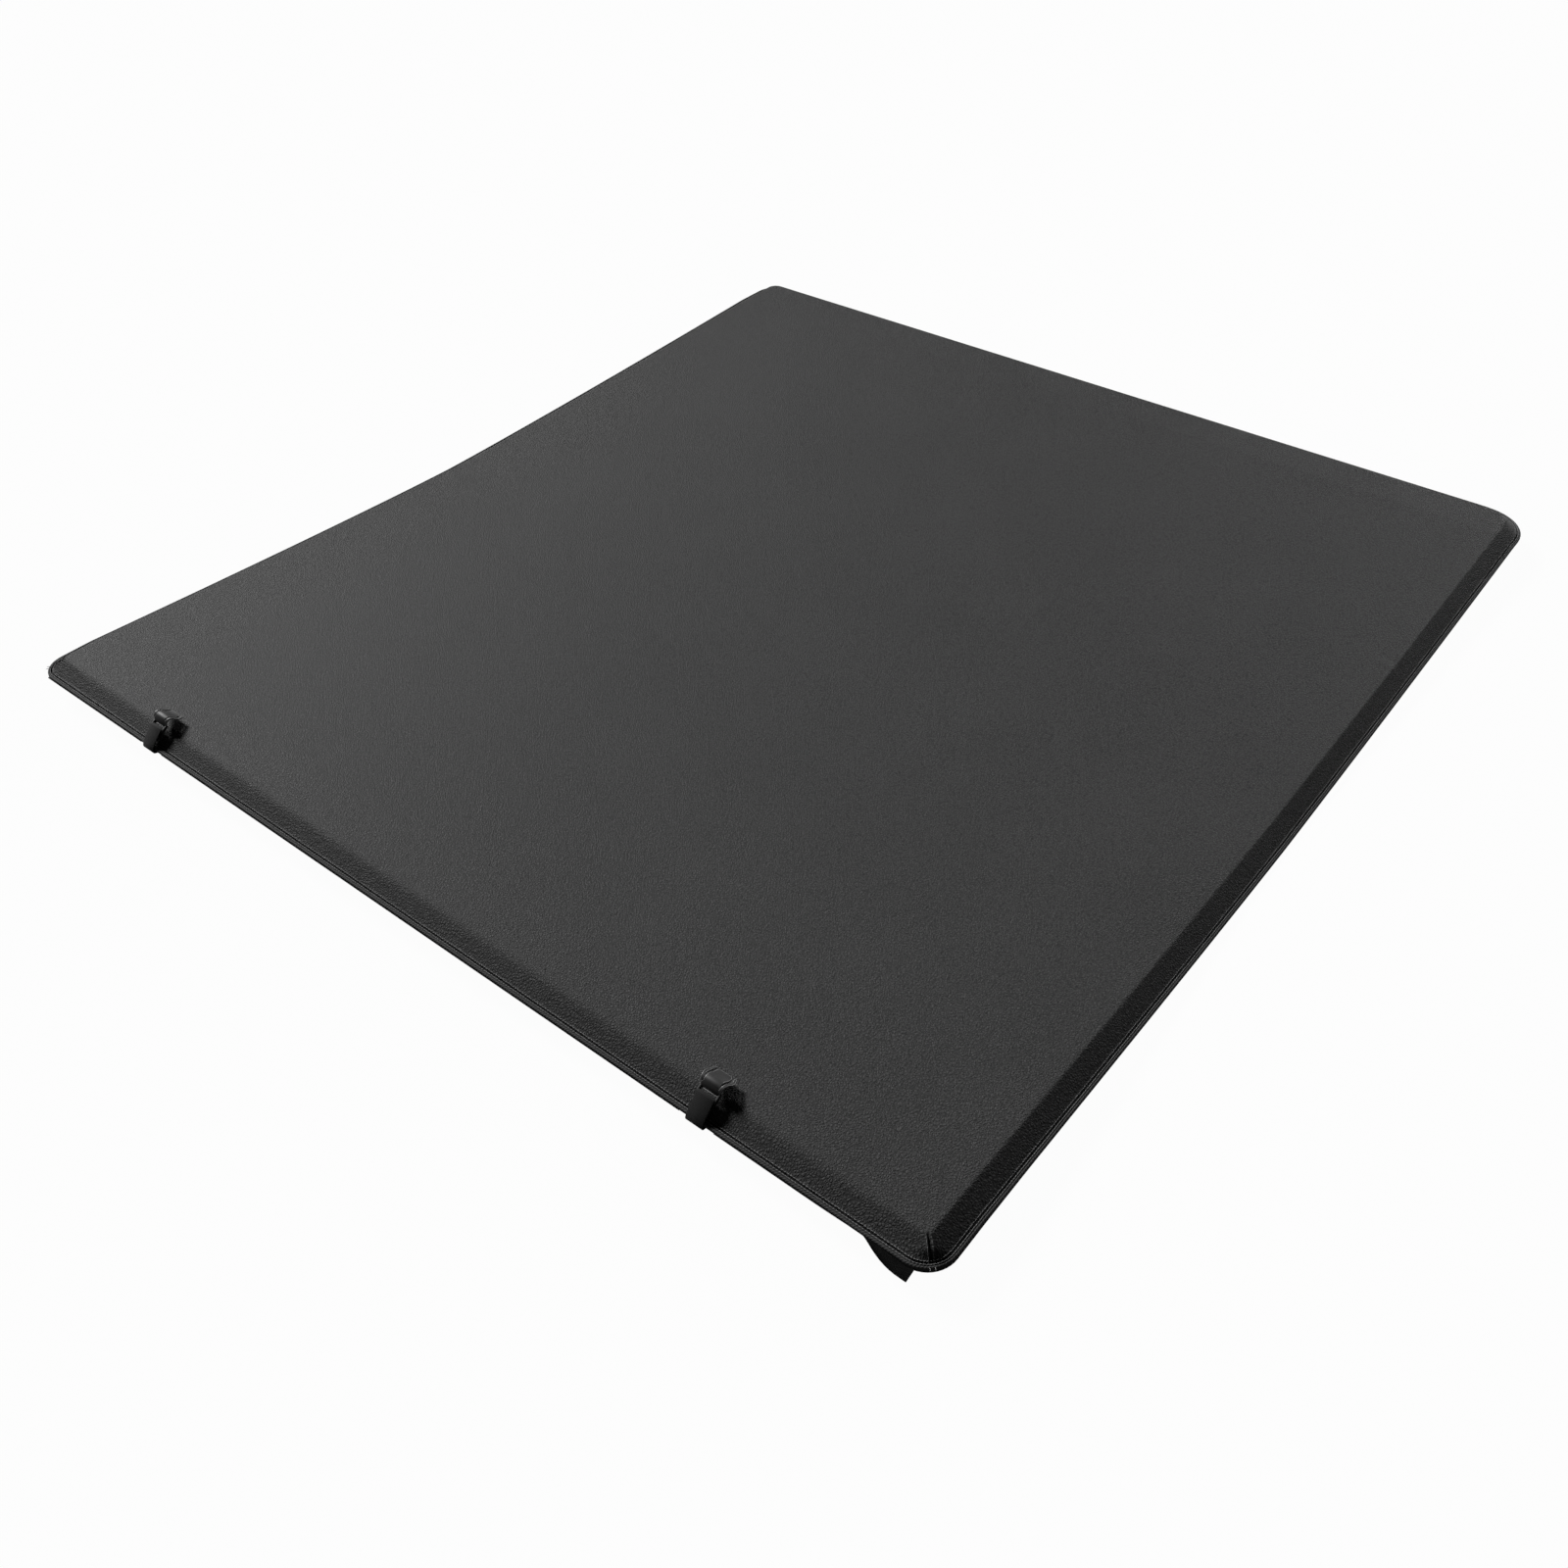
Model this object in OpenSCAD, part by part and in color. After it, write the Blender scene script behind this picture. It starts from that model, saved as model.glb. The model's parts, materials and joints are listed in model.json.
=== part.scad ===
// Soft roll-up cover for a pickup bed, laid out flat on its two end bars.
// A vinyl top with a sloping hemmed border hangs between an aluminium header
// bar (cab end, -Y) and a tailgate bar (+Y).  It rolls up towards the cab, so
// the soft parts are divided at the fold lines of the roll.
// Origin: centre of the footprint, on the surface that the cover stands on.
// +X across the bed, +Y from the cab to the tailgate, +Z up.

/* [Cover] */
// Width of the cover across the bed
cover_w = 1580; // [1400:10:1700]
// Length of the cover along the bed
cover_l = 1700; // [1680:10:1760]
// Thickness of the coated fabric of the top
skin_t = 1.5; // [1:0.1:2]
// Width of the sloping border, seen from above
bevel_w = 29; // [24:1:32]
// Height of the flat top above the outer edge of the hem
bevel_h = 18; // [14:1:20]
// Corner radius at both ends of the cab edge
cab_corner_r = 38; // [34:1:60]
// Corner radius at the left of the tailgate edge
tail_left_corner_r = 46; // [34:1:75]
// Corner radius at the right of the tailgate edge
tail_right_corner_r = 72; // [34:1:75]

/* [Sag] */
// Droop of the top half way between the end bars
sag = 27.8; // [20:0.2:30]
// Distance of the lowest point from the middle, towards the cab
apex_offset = 65; // [0:5:100]
// Exponent of the droop curve: 1 is a sharp V, 2 a round parabola
sag_power = 1.35; // [1.2:0.05:1.6]
// Length of the stretch that the header bar holds flat
cab_flat = 85; // [80:5:95]
// Length of the stretch that the tailgate bar holds flat
tail_flat = 100; // [95:5:100]

/* [Hem] */
// Thickness of the binding tape on each face of the hem
tape_t = 0.7; // [0.5:0.1:1]
// Width of the binding tape on each face
tape_w = 8; // [6:0.5:9]
// Thickness of the loop fastener strip under the side borders
loop_t = 1.8; // [1:0.1:2]

/* [Roll] */
// Length of the fold panel next to the header panel
first_panel_l = 220; // [216:1:222]
// How much shorter each next panel is, so that the roll winds as a spiral
panel_step = 16; // [16:0.5:17]

/* [Bars and bows] */
// Width of the end bars along the bed
bar_w = 42; // [38:1:42]
// Height of the end bars
bar_h = 29; // [26:1:30]
// Wall of the extrusions
bar_wall = 2.2; // [1.8:0.1:3]
// Half length of the end bars, without their plugs
bar_half = 745; // [650:5:745]
// Depth of the flat-oval bows
bow_h = 17; // [14:0.5:18]
// Width of the flat-oval bows
bow_w = 30; // [26:1:30]
// Radius of the locating bore in each end plug
plug_bore_r = 4.2; // [3:0.1:6]

/* [Straps] */
// Width of the strap webbing
web_w = 24; // [20:1:25]
// Thickness of the strap webbing
web_t = 1.5; // [1.2:0.1:1.8]
// Distance of the left strap from the left edge
strap_left_in = 286; // [200:2:400]
// Distance of the right strap from the right edge
strap_right_in = 302; // [200:2:400]

/* [Hidden] */
FOLDS = 9;                         // fold panels between header and tail panel
BOWED = [1, 3, 5, 7];              // fold panels that carry a bow
joint_gap = 0.15;                  // half of the slit at each fold line
panel_steps = 5;                   // lengths that follow the droop in each fold panel
eps = 0.02;                        // slit between parts that only touch
drop = sag + skin_t + tape_t;      // the hem at mid length just meets the floor
hem_z = drop;                      // outer edge of the hem at both end bars
flat_z = hem_z + bevel_h;          // top of the flat middle at both end bars
tail_panel_l = tail_flat;
half_w = cover_w / 2;
half_l = cover_l / 2;
crease_x = half_w - bevel_w;

// Two digits, for node names
function two(k) = str(k < 10 ? "0" : "", k);
function names(stem) = [for (k = [1:FOLDS]) str(stem, two(k))];

// ---- Layout of the fold panels --------------------------------------------
function panel_l(k) = k > FOLDS ? tail_panel_l : first_panel_l - panel_step * (k - 1);
function run(k) = k < 1 ? 0 : panel_l(k) + run(k - 1);
header_l = cover_l - run(FOLDS + 1);
// Fold line after panel k; 0 is the one at the end of the header panel
function fold_y(k) = -half_l + header_l + run(k);
function mid_y(k) = (fold_y(k - 1) + fold_y(k)) / 2;

// ---- Droop of the top ------------------------------------------------------
function reach(y) = y < -apex_offset ? half_l - cab_flat - apex_offset : half_l - tail_flat + apex_offset;
function droop(y) = let (d = abs(y + apex_offset) / reach(y)) d < 1 ? sag * (1 - pow(d, sag_power)) : 0;
function slope(y) = atan((droop(y - 1) - droop(y + 1)) / 2);
function steps(a, b, n) = [for (i = [0:n]) a + (b - a) * i / n];
function backwards(list) = [for (i = [len(list) - 1:-1:0]) list[i]];

// ---- Border sections: [distance in from the edge, height above it] ---------
pitch = bevel_h / bevel_w;
function lay(d, h = 0) = [d, d * pitch + h];
tuck = 1.2;                        // how far the skin's raw edge stays inside the tape
skin_section = [lay(tuck, -skin_t), lay(bevel_w, -skin_t), lay(bevel_w), lay(tuck)];
tape_section = [lay(0.6, -skin_t - tape_t), lay(tape_w, -skin_t - tape_t), lay(tape_w, -skin_t),
                lay(tuck, -skin_t), lay(tuck), lay(tape_w), lay(tape_w, tape_t), lay(0.6, tape_t),
                lay(0, 0), [0, -skin_t]];
loop_in = 9;
loop_w = 18;
loop_section = [lay(loop_in, -skin_t - loop_t), lay(loop_in + loop_w, -skin_t - loop_t),
                lay(loop_in + loop_w, -skin_t), lay(loop_in, -skin_t)];

// ---- Paths along the edge: [x, y, outward normal x, outward normal y] ------
function side_path(s, a, b, n) = [for (y = steps(a, b, n)) [s * half_w, s * y, s, 0]];
function arc_path(cx, cy, r, from, ends = 0) =
    [for (i = [1 - ends:8 + ends]) let (a = from + 90 * i / 9)
     [cx + r * cos(a), cy + r * sin(a), cos(a), sin(a)]];
// Down one side of an end panel, from the fold line at y_in to y_out, with a station where the droop starts
function down_side(y_in, y_out) =
    [for (y = concat(steps(y_in, -half_l + cab_flat, 3), [y_out])) [-half_w, y, -1, 0]];
function up_side(y_in, y_out) = backwards([for (p = down_side(y_in, y_out)) [-p[0], p[1], -p[2], p[3]]]);
// Round one end of the cover, from the fold line at y_in; turned half round for the tail
function end_path(y_in, r1, r2, turn) =
    let (p = concat(
        down_side(y_in, -half_l + r1), arc_path(-half_w + r1, -half_l + r1, r1, 180),
        [[-half_w + r1, -half_l, 0, -1], [half_w - r2, -half_l, 0, -1]],
        arc_path(half_w - r2, -half_l + r2, r2, 270), up_side(y_in, -half_l + r2)))
    [for (q = p) turn * q];

// A closed section swept along an edge path, following the droop
module sweep(path, section) {
    m = len(section);
    n = len(path);
    points = [for (p = path, s = section)
              [p[0] - p[2] * s[0], p[1] - p[3] * s[0], hem_z + s[1] - droop(p[1])]];
    walls = [for (i = [0:n - 2], j = [0:m - 1])
             let (a = i * m + j, b = i * m + (j + 1) % m) [a, a + m, b + m, b]];
    caps = [[for (j = [0:m - 1]) j], [for (j = [m - 1:-1:0]) (n - 1) * m + j]];
    polyhedron(points = points, faces = concat(walls, caps), convexity = 6);
}

// Extrude a profile drawn in the YZ plane along X, centred on x
module across(width, x = 0)
    translate([x, 0, 0]) rotate([90, 0, 90]) linear_extrude(height = width, center = true) children();

// The flat middle between two fold lines, as one bent sheet
module flat_sheet(a, b) {
    ys = steps(a, b, panel_steps);
    across(2 * (crease_x - eps)) polygon(concat([for (y = ys) [y, flat_z - droop(y)]],
        [for (i = [len(ys) - 1:-1:0]) [ys[i], flat_z - skin_t - droop(ys[i])]]));
}

// The flat middle inside the rounded border of an end panel
module end_sheet(path) {
    in = bevel_w + eps;
    translate([0, 0, flat_z - skin_t]) linear_extrude(height = skin_t)
        polygon([for (p = path) [p[0] - p[2] * in, p[1] - p[3] * in]]);
}

header_path = end_path(fold_y(0) - joint_gap, cab_corner_r, cab_corner_r, 1);
header_rim = [for (p = header_path) if (p[1] <= -half_l + cab_flat + eps) p];
tail_rim = [for (p = end_path(-half_l + tail_flat - joint_gap, tail_right_corner_r, tail_left_corner_r, -1))
            if (p[1] >= half_l - cab_flat - eps || abs(p[1] - fold_y(FOLDS)) < 1) p];

// Both sides of a fold panel
module side_sweeps(a, b, section) {
    sweep(side_path(1, a, b, panel_steps), section);
    sweep(side_path(-1, -b, -a, panel_steps), section);
}

// The border of an end panel in five lengths: two corners, the end edge and two sides.
// r1 is the corner that the path of end_path meets first.
module end_border(y_in, r1, r2, turn) {
    module length_of(path) sweep([for (q = path) turn * q], skin_section);
    cut = eps / 2;
    length_of(down_side(y_in, -half_l + r1 + cut));
    length_of(arc_path(-half_w + r1, -half_l + r1, r1, 180, 1));
    length_of([[-half_w + r1 + cut, -half_l, 0, -1], [half_w - r2 - cut, -half_l, 0, -1]]);
    length_of(arc_path(half_w - r2, -half_l + r2, r2, 270, 1));
    length_of(up_side(y_in, -half_l + r2 + cut));
}

// ---- Soft parts -------------------------------------------------------------
// Each panel's flat middle and its sloping borders are separate solids that meet at
// the crease, so that the space under the cover stays open.
module vinyl() color([0.16, 0.16, 0.16]) children();
module tape() color([0.1, 0.1, 0.1]) children();

module fold_skin(k) {
    a = fold_y(k - 1) + joint_gap;
    b = fold_y(k) - joint_gap;
    vinyl() {
        flat_sheet(a, b);
        side_sweeps(a, b, skin_section);
    }
}
module fold_binding(k) tape() side_sweeps(fold_y(k - 1) + joint_gap, fold_y(k) - joint_gap, tape_section);
module fold_loop(k) color([0.2, 0.2, 0.2])
    side_sweeps(fold_y(k - 1) + joint_gap, fold_y(k) - joint_gap, loop_section);

module header_skin() vinyl() {
    end_sheet(header_rim);
    flat_sheet(-half_l + cab_flat + eps, fold_y(0) - joint_gap);
    end_border(fold_y(0) - joint_gap, cab_corner_r, cab_corner_r, 1);
}
module header_binding() tape() sweep(header_path, tape_section);
module header_loop() color([0.2, 0.2, 0.2]) {
    y_in = fold_y(0) - joint_gap;
    y_out = -half_l + cab_corner_r + loop_in;
    sweep(down_side(y_in, y_out), loop_section);
    sweep(up_side(y_in, y_out), loop_section);
}

module tail_skin() vinyl() {
    end_sheet(tail_rim);
    end_border(-half_l + tail_flat - joint_gap, tail_right_corner_r, tail_left_corner_r, -1);
}
module tail_binding() tape() sweep(tail_rim, tape_section);
module tail_loop() color([0.2, 0.2, 0.2]) {
    sweep(side_path(1, half_l - tail_flat + joint_gap, half_l - tail_right_corner_r, 1), loop_section);
    sweep(side_path(-1, -half_l + tail_left_corner_r, -half_l + tail_flat - joint_gap, 1), loop_section);
}

// Skirt flaps sewn under the cab hem; the outer end of the right one hangs down
flap_w = 24;
flap_t = 1.4;
flap_root = [0, -5.2];             // in from the edge, above the edge
flap_hang = 141;                   // length over which the outer end turns down
flap_turned = 0.92;                // share of it after which the flap is upright
flap_slant = 6.5;                  // the hanging end is cut back this far at its lower edge
module flap(x0, x1, hang) {
    n = hang > 0 ? 18 : 1;
    function ease(u) = u * u * (3 - 2 * u);
    function turn(x) = let (u = (x - x1 + hang) / (hang * flap_turned))
        hang == 0 ? 0 : 90 * ease(min(1, max(0, u)));
    cut = hang > 0 ? flap_slant / flap_w : 0;
    points = [for (i = [0:n]) let (a = turn(x0 + (x1 - x0) * i / n),
                  y = -half_l + flap_root[0], z = hem_z + flap_root[1])
              for (c = [[0, 0], [flap_w, 0], [flap_w, flap_t], [0, flap_t]])
              [x0 + (x1 - cut * c[0] - x0) * i / n,
               y + c[0] * cos(a) + c[1] * sin(a), z - c[0] * sin(a) + c[1] * cos(a)]];
    walls = [for (i = [0:n - 1], j = [0:3], half = [0, 1]) let (p = i * 4 + j, q = i * 4 + (j + 1) % 4)
             half == 0 ? [p, p + 4, q + 4] : [p, q + 4, q]];
    caps = [[0, 1, 2, 3], [for (j = [3:-1:0]) n * 4 + j]];
    polyhedron(points = points, faces = concat(walls, caps), convexity = 4);
}
flap_end_in = 26;                  // the flaps end this far from the sides
flap_clear = 24;                   // and this far from the middle of a strap
module cab_flaps() vinyl() {
    flap(-half_w + flap_end_in, strap_x(-1) - flap_clear, 0);
    flap(strap_x(-1) + flap_clear, strap_x(1) - flap_clear, 0);
    flap(strap_x(1) + flap_clear, half_w - flap_end_in, flap_hang);
}

// ---- End bars ----------------------------------------------------------------
bar_top = flat_z - skin_t;
bar_bottom = bar_top - bar_h;
bar_face = bevel_w + 2;            // outer face of an end bar, in from the edge
bar_edge_r = 7;                    // rounded edge that the top is drawn over
header_bar_y = -half_l + bar_face + bar_w / 2;
tail_bar_y = half_l - bar_face - bar_w / 2;
// Ends are -1 for the cab and 1 for the tailgate; sides are -1 for left and 1 for right
function bar_y(end) = end < 0 ? header_bar_y : tail_bar_y;
// The tail bar stops short of its rounder right corner
corner_cut = 0.75 * (tail_right_corner_r - tail_left_corner_r);
function bar_reach(end, s) = end > 0 && s > 0 ? bar_half - max(0, corner_cut) : bar_half;
stub_l = 22;
stub_clear = 0.2;
head_l = 12;                       // head of an end plug, with the upright bore
head_drop = 3;                     // the head stays this far below the top of the bar
screw_r = 2.3;
screw_l = 6;                       // length inside the bar
head_r = 4.4;
head_h = 2.2;
screw_hole_r = 2.4;
screw_pitch = 14;
plate_z = hem_z - 2;               // middle of the strap plates
plate_h = 12;
plate_t = 2;

// Profile of an end bar, inset from its outer faces; its middle is at y = 0
module bar_profile(inset, end) mirror([end > 0 ? 1 : 0, 0]) {
    r = bar_edge_r - inset;
    w = bar_w - 2 * inset;
    h = bar_h - 2 * inset;
    translate([-w / 2, inset]) square([w, h - r]);
    translate([-w / 2 + r, inset]) square([w - r, h]);
    translate([-w / 2 + r, inset + h - r]) circle(r = r, $fn = 48);
}
// Extrude a profile along an end bar, all but cut at both ends
module along_bar(end, cut = 0) {
    left = bar_reach(end, -1) - cut;
    right = bar_reach(end, 1) - cut;
    across(left + right, (right - left) / 2) translate([bar_y(end), 0]) children();
}
module bar(end) along_bar(end) translate([0, bar_bottom]) difference() {
    bar_profile(0, end);
    bar_profile(bar_wall, end);
}
// Places for what holds the four strap ends: [strap side, face of the bar]
function screw_places() = [for (s = [-1, 1], f = [-1, 1], i = [-0.5, 0.5])
    [strap_x(s) + i * screw_pitch, header_bar_y + f * bar_w / 2, plate_z, f]];
module along_y(p) translate([p[0], p[1], p[2]]) rotate([-90 * p[3], 0, 0]) children();

module header_bar() color([0.12, 0.12, 0.13]) difference() {
    bar(-1);
    for (p = screw_places()) along_y(p) translate([0, 0, -bar_wall - 1])
        cylinder(h = bar_wall + 2, r = screw_hole_r, $fn = 32);
}
module tail_bar() color([0.12, 0.12, 0.13]) bar(1);

// End plug: a stub inside the bar, and a head with an upright bore for a locating pin
module plug(end, s) translate([s * bar_reach(end, s), bar_y(end), bar_bottom]) {
    across(stub_l + eps, s * (eps - stub_l) / 2) bar_profile(bar_wall + stub_clear, end);
    difference() {
        across(head_l, s * head_l / 2) translate([-bar_w / 2, 0]) square([bar_w, bar_h - head_drop]);
        translate([s * head_l / 2, 0, -1]) cylinder(h = bar_h, r = plug_bore_r, $fn = 48);
        across(head_l + 2, s * head_l / 2) mirror([end > 0 ? 1 : 0, 0]) difference() {
            translate([-bar_w / 2 - 1, bar_h - bar_edge_r]) square([bar_edge_r + 1, bar_edge_r + 1]);
            translate([-bar_w / 2 + bar_edge_r, bar_h - bar_edge_r]) circle(r = bar_edge_r, $fn = 48);
        }
    }
}
module plugs(end) color([0.09, 0.09, 0.09]) for (s = [-1, 1]) plug(end, s);
module header_plugs() plugs(-1);
module tail_plugs() plugs(1);

// Hollow bulb seal stuck under a bar; it is what the cover stands on
bulb_r = 7;
bulb_wall = 2;
seal_end = 6;                      // the seal stops short of each plug
foot_w = 18;                       // foot that is stuck to the bar
foot_h = 3;
neck_w = 8;
module seal(end) color([0.05, 0.05, 0.05]) along_bar(end, seal_end) difference() {
    union() {
        translate([0, bulb_r]) circle(r = bulb_r, $fn = 40);
        translate([-foot_w / 2, bar_bottom - foot_h]) square([foot_w, foot_h]);
        translate([-neck_w / 2, bulb_r]) square([neck_w, bar_bottom - foot_h / 2 - bulb_r]);
    }
    translate([0, bulb_r]) circle(r = bulb_r - bulb_wall, $fn = 40);
}
module header_seal() seal(-1);
module tail_seal() seal(1);

// ---- Bows ---------------------------------------------------------------------
bow_half = 735;                    // half length, without the caps
bow_wall = 1.6;
bow_clear = 0.3;                   // between a bow and the sheet
cap_t = 3;
cap_plug_l = 18;                   // how far a cap reaches into its bow
module bow_profile(inset) {
    r = bow_h / 2 - inset;
    flat = bow_w - bow_h;
    translate([-flat / 2, -r]) square([flat, 2 * r]);
    for (s = [-1, 1]) translate([s * flat / 2, 0]) circle(r = r, $fn = 48);
}
module at_bow(k) translate([0, mid_y(k), flat_z - skin_t - droop(mid_y(k)) - bow_h / 2 - bow_clear])
    rotate([slope(mid_y(k)), 0, 0]) children();
module bow(k) color([0.62, 0.63, 0.65]) at_bow(k) across(2 * bow_half) difference() {
    bow_profile(0);
    bow_profile(bow_wall);
}
module bow_caps(k) color([0.09, 0.09, 0.09]) at_bow(k) for (s = [-1, 1]) union() {
    across(cap_t, s * (bow_half + cap_t / 2)) bow_profile(0);
    across(cap_plug_l + eps, s * (bow_half - cap_plug_l / 2)) bow_profile(bow_wall + stub_clear);
}

// ---- Straps ---------------------------------------------------------------------
function strap_x(s) = s * (half_w - (s < 0 ? strap_left_in : strap_right_in));
function bezier(p, n) = [for (i = [0:n]) let (t = i / n, u = 1 - t)
    u * u * u * p[0] + 3 * u * u * t * p[1] + 3 * u * t * t * p[2] + t * t * t * p[3]];
function unit(v) = v / norm(v);
function side_of(c, i, d) =
    let (t = unit(c[min(i + 1, len(c) - 1)] - c[max(i - 1, 0)])) c[i] + d * [-t[1], t[0]];
// Outline of a strip of thickness t whose middle line is the curve c
function ribbon(c, t) = concat([for (i = [0:len(c) - 1]) side_of(c, i, t / 2)],
                               [for (i = [len(c) - 1:-1:0]) side_of(c, i, -t / 2)]);
// Profiles near the cab edge are drawn from the outer edge of the hem
module at_edge() translate([-half_l, hem_z]) children();
module webbing(curve, x, w = web_w) across(w, x) at_edge() polygon(ribbon(curve, web_t));

back_face = bar_face + bar_w;      // inner face of the header bar, in from the edge
root_start = bar_face - web_t / 2 - eps;
root_curve = concat([[root_start, 5]],
                    bezier([[root_start, -8], [bar_face - 1, -14], [17, -10], [-0.6, -4.4]], 8));
back_pivot = [back_face + web_t / 2 + eps, -14.6];   // below the bar, where the lower strap bends
back_root_curve = [[back_pivot[0], 5], back_pivot + [0, 0.6]];
screw_clear_r = 2.7;

module strap_roots() color([0.07, 0.07, 0.07]) difference() {
    for (s = [-1, 1]) {
        webbing(root_curve, strap_x(s));
        webbing(back_root_curve, strap_x(s));
    }
    for (p = screw_places()) along_y(p) translate([0, 0, -1])
        cylinder(h = web_t + 2, r = screw_clear_r, $fn = 32);
}
module strap_plates() color([0.25, 0.25, 0.26]) for (s = [-1, 1], f = [-1, 1]) difference() {
    plate_y = header_bar_y + f * (bar_w / 2 + web_t + 2 * eps + plate_t / 2);
    translate([strap_x(s) - web_w / 2, plate_y - plate_t / 2, plate_z - plate_h / 2])
        cube([web_w, plate_t, plate_h]);
    for (p = screw_places()) along_y(p) cylinder(h = web_t + plate_t + 1, r = screw_clear_r, $fn = 32);
}
module strap_screws() color([0.2, 0.2, 0.21]) for (p = screw_places()) along_y(p) union() {
    clamped = web_t + plate_t + 3 * eps;
    translate([0, 0, -screw_l]) cylinder(h = screw_l + clamped, r = screw_r, $fn = 32);
    translate([0, 0, clamped]) cylinder(h = head_h, r = head_r, $fn = 32);
}

// Upper strap: turns up round the hem and stands a little off the border
edge_pivot = [-2.4, -2.4];         // where the webbing folds over the hem
ladder = [19, 21];                 // pin of the buckle that the strap is looped on
pin_r = 1.6;
loop_r = pin_r + 0.35;             // inside of the webbing loop
loop_mid = loop_r + web_t / 2;
overlap = 0.4;                     // the webbing runs this far past where it meets its loop
strap_curve = bezier([[-2.3, -1.7], [-1.9, 5], [10, 12],
                      ladder + loop_mid * [cos(135), sin(135)] + overlap * [cos(45), sin(45)]], 14);
module web_loop(c) translate(c) difference() {
    circle(r = loop_r + web_t, $fn = 40);
    circle(r = loop_r, $fn = 40);
}
module strap(s) color([0.07, 0.07, 0.07]) union() {
    webbing(strap_curve, strap_x(s));
    across(web_w, strap_x(s)) at_edge() web_loop(ladder);
}
module strap_left() strap(-1);
module strap_right() strap(1);

// Pronged half of the side-release buckle, a curved blade seen from the side
blade_t = 2.6;
blade_w = 29;
blade_start = 24.2;
ear_t = 2.2;                       // ears that hold each buckle's pin
ear_h = 4.4;
blade_curve = concat(bezier([[blade_start, 23.5], [27.5, 27.5], [28, 35], [33.5, 34.6]], 8),
                     [for (i = [1:10]) bezier([[33.5, 34.6], [39, 34.2], [42, 27.4], [58, 23.6]], 10)[i]]);
prong = [[30, 10.4], [30, 14.5], [46, 18], [53, 17.6], [58, 13.2], [53.5, 12.6], [50.5, 14.2], [46, 13.6]];
module blade_plan() {
    translate([blade_start - 1, -blade_w / 2]) square([9, blade_w]);
    translate([blade_start - 1, -11.4]) square([50 - blade_start, 22.8]);
    for (s = [-1, 1]) polygon([for (p = prong) [p[0], s * p[1]]]);
}
module prong_buckle(s) color([0.05, 0.05, 0.05]) union() {
    intersection() {
        across(2 * blade_w, strap_x(s)) at_edge() polygon(ribbon(blade_curve, blade_t));
        translate([strap_x(s), -half_l, hem_z]) linear_extrude(height = 60)
            rotate(90) mirror([0, 1]) blade_plan();
    }
    across(blade_w, strap_x(s)) at_edge() translate(ladder) circle(r = pin_r, $fn = 32);
    for (e = [-1, 1]) across(ear_t, strap_x(s) + e * (blade_w - ear_t) / 2) at_edge()
        polygon([ladder + [-2.4, -2], ladder + [1.2, -2.4], [blade_start + 3.2, 25],
                 [blade_start + 1.8, 27.6], ladder + [-2.2, 2.6]]);
}
module buckle_left() prong_buckle(-1);
module buckle_right() prong_buckle(1);

// Lower strap: hangs from the back of the header bar and lies on the floor
floor_h = -hem_z;
lower_pin = [back_face + 43, floor_h + 5.6];
lower_curve = bezier([back_pivot + [0, -0.5], back_pivot + [-0.2, -13], lower_pin - [25, loop_mid + 2.6],
                      lower_pin + [overlap, -loop_mid]], 14);
module lower_strap(s) color([0.07, 0.07, 0.07]) union() {
    webbing(lower_curve, strap_x(s));
    across(web_w, strap_x(s)) at_edge() web_loop(lower_pin);
}
module lower_strap_left() lower_strap(-1);
module lower_strap_right() lower_strap(1);

// Socket half of the buckle, with its mouth away from the strap
shell_w = 34;
shell_l = 40;
shell_h = 11;
shell_wall = 2.4;
mouth_w = 28;
mouth_h = 6.2;
shell_gap = 5;                     // from the pin to the shell
window_y = 22;                     // slots where the prongs latch, from the pin
window_l = 12;
window_d = 4;
module socket_buckle(s) color([0.05, 0.05, 0.05])
    translate([strap_x(s), -half_l + lower_pin[0], hem_z + lower_pin[1]]) union() {
        difference() {
            translate([-shell_w / 2, shell_gap, -shell_h / 2]) cube([shell_w, shell_l, shell_h]);
            translate([-mouth_w / 2, shell_gap + shell_wall, -mouth_h / 2])
                cube([mouth_w, shell_l, mouth_h]);
            for (e = [-1, 1]) translate([e * shell_w / 2 - window_d, window_y, -mouth_h / 2])
                cube([2 * window_d, window_l, mouth_h]);
        }
        rotate([0, 90, 0]) cylinder(h = blade_w, r = pin_r, center = true, $fn = 32);
        for (e = [-1, 1]) translate([e * (blade_w - ear_t) / 2 - ear_t / 2, -2, -ear_h / 2])
            cube([ear_t, shell_gap + 2.5, ear_h]);
    }
module lower_buckle_left() socket_buckle(-1);
module lower_buckle_right() socket_buckle(1);

header_skin();
header_binding();
header_loop();
header_bar();
header_plugs();
header_seal();
cab_flaps();
strap_plates();
strap_screws();
strap_roots();
strap_left();
strap_right();
buckle_left();
buckle_right();
lower_strap_left();
lower_strap_right();
lower_buckle_left();
lower_buckle_right();
for (k = [1:FOLDS]) {
    fold_skin(k);
    fold_binding(k);
    fold_loop(k);
}
for (k = BOWED) {
    bow(k);
    bow_caps(k);
}
tail_skin();
tail_binding();
tail_loop();
tail_bar();
tail_plugs();
tail_seal();
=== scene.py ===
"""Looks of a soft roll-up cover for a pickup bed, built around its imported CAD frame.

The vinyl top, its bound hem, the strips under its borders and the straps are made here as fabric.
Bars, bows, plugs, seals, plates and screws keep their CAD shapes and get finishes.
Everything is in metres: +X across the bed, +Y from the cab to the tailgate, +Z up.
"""
import json
import logging
import math
from bisect import bisect_right
from collections.abc import Callable, Iterable, Sequence
from dataclasses import dataclass, field
from enum import Enum
from typing import Any

import bmesh
import bpy
from mathutils import Euler, Matrix, Vector, noise

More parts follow.
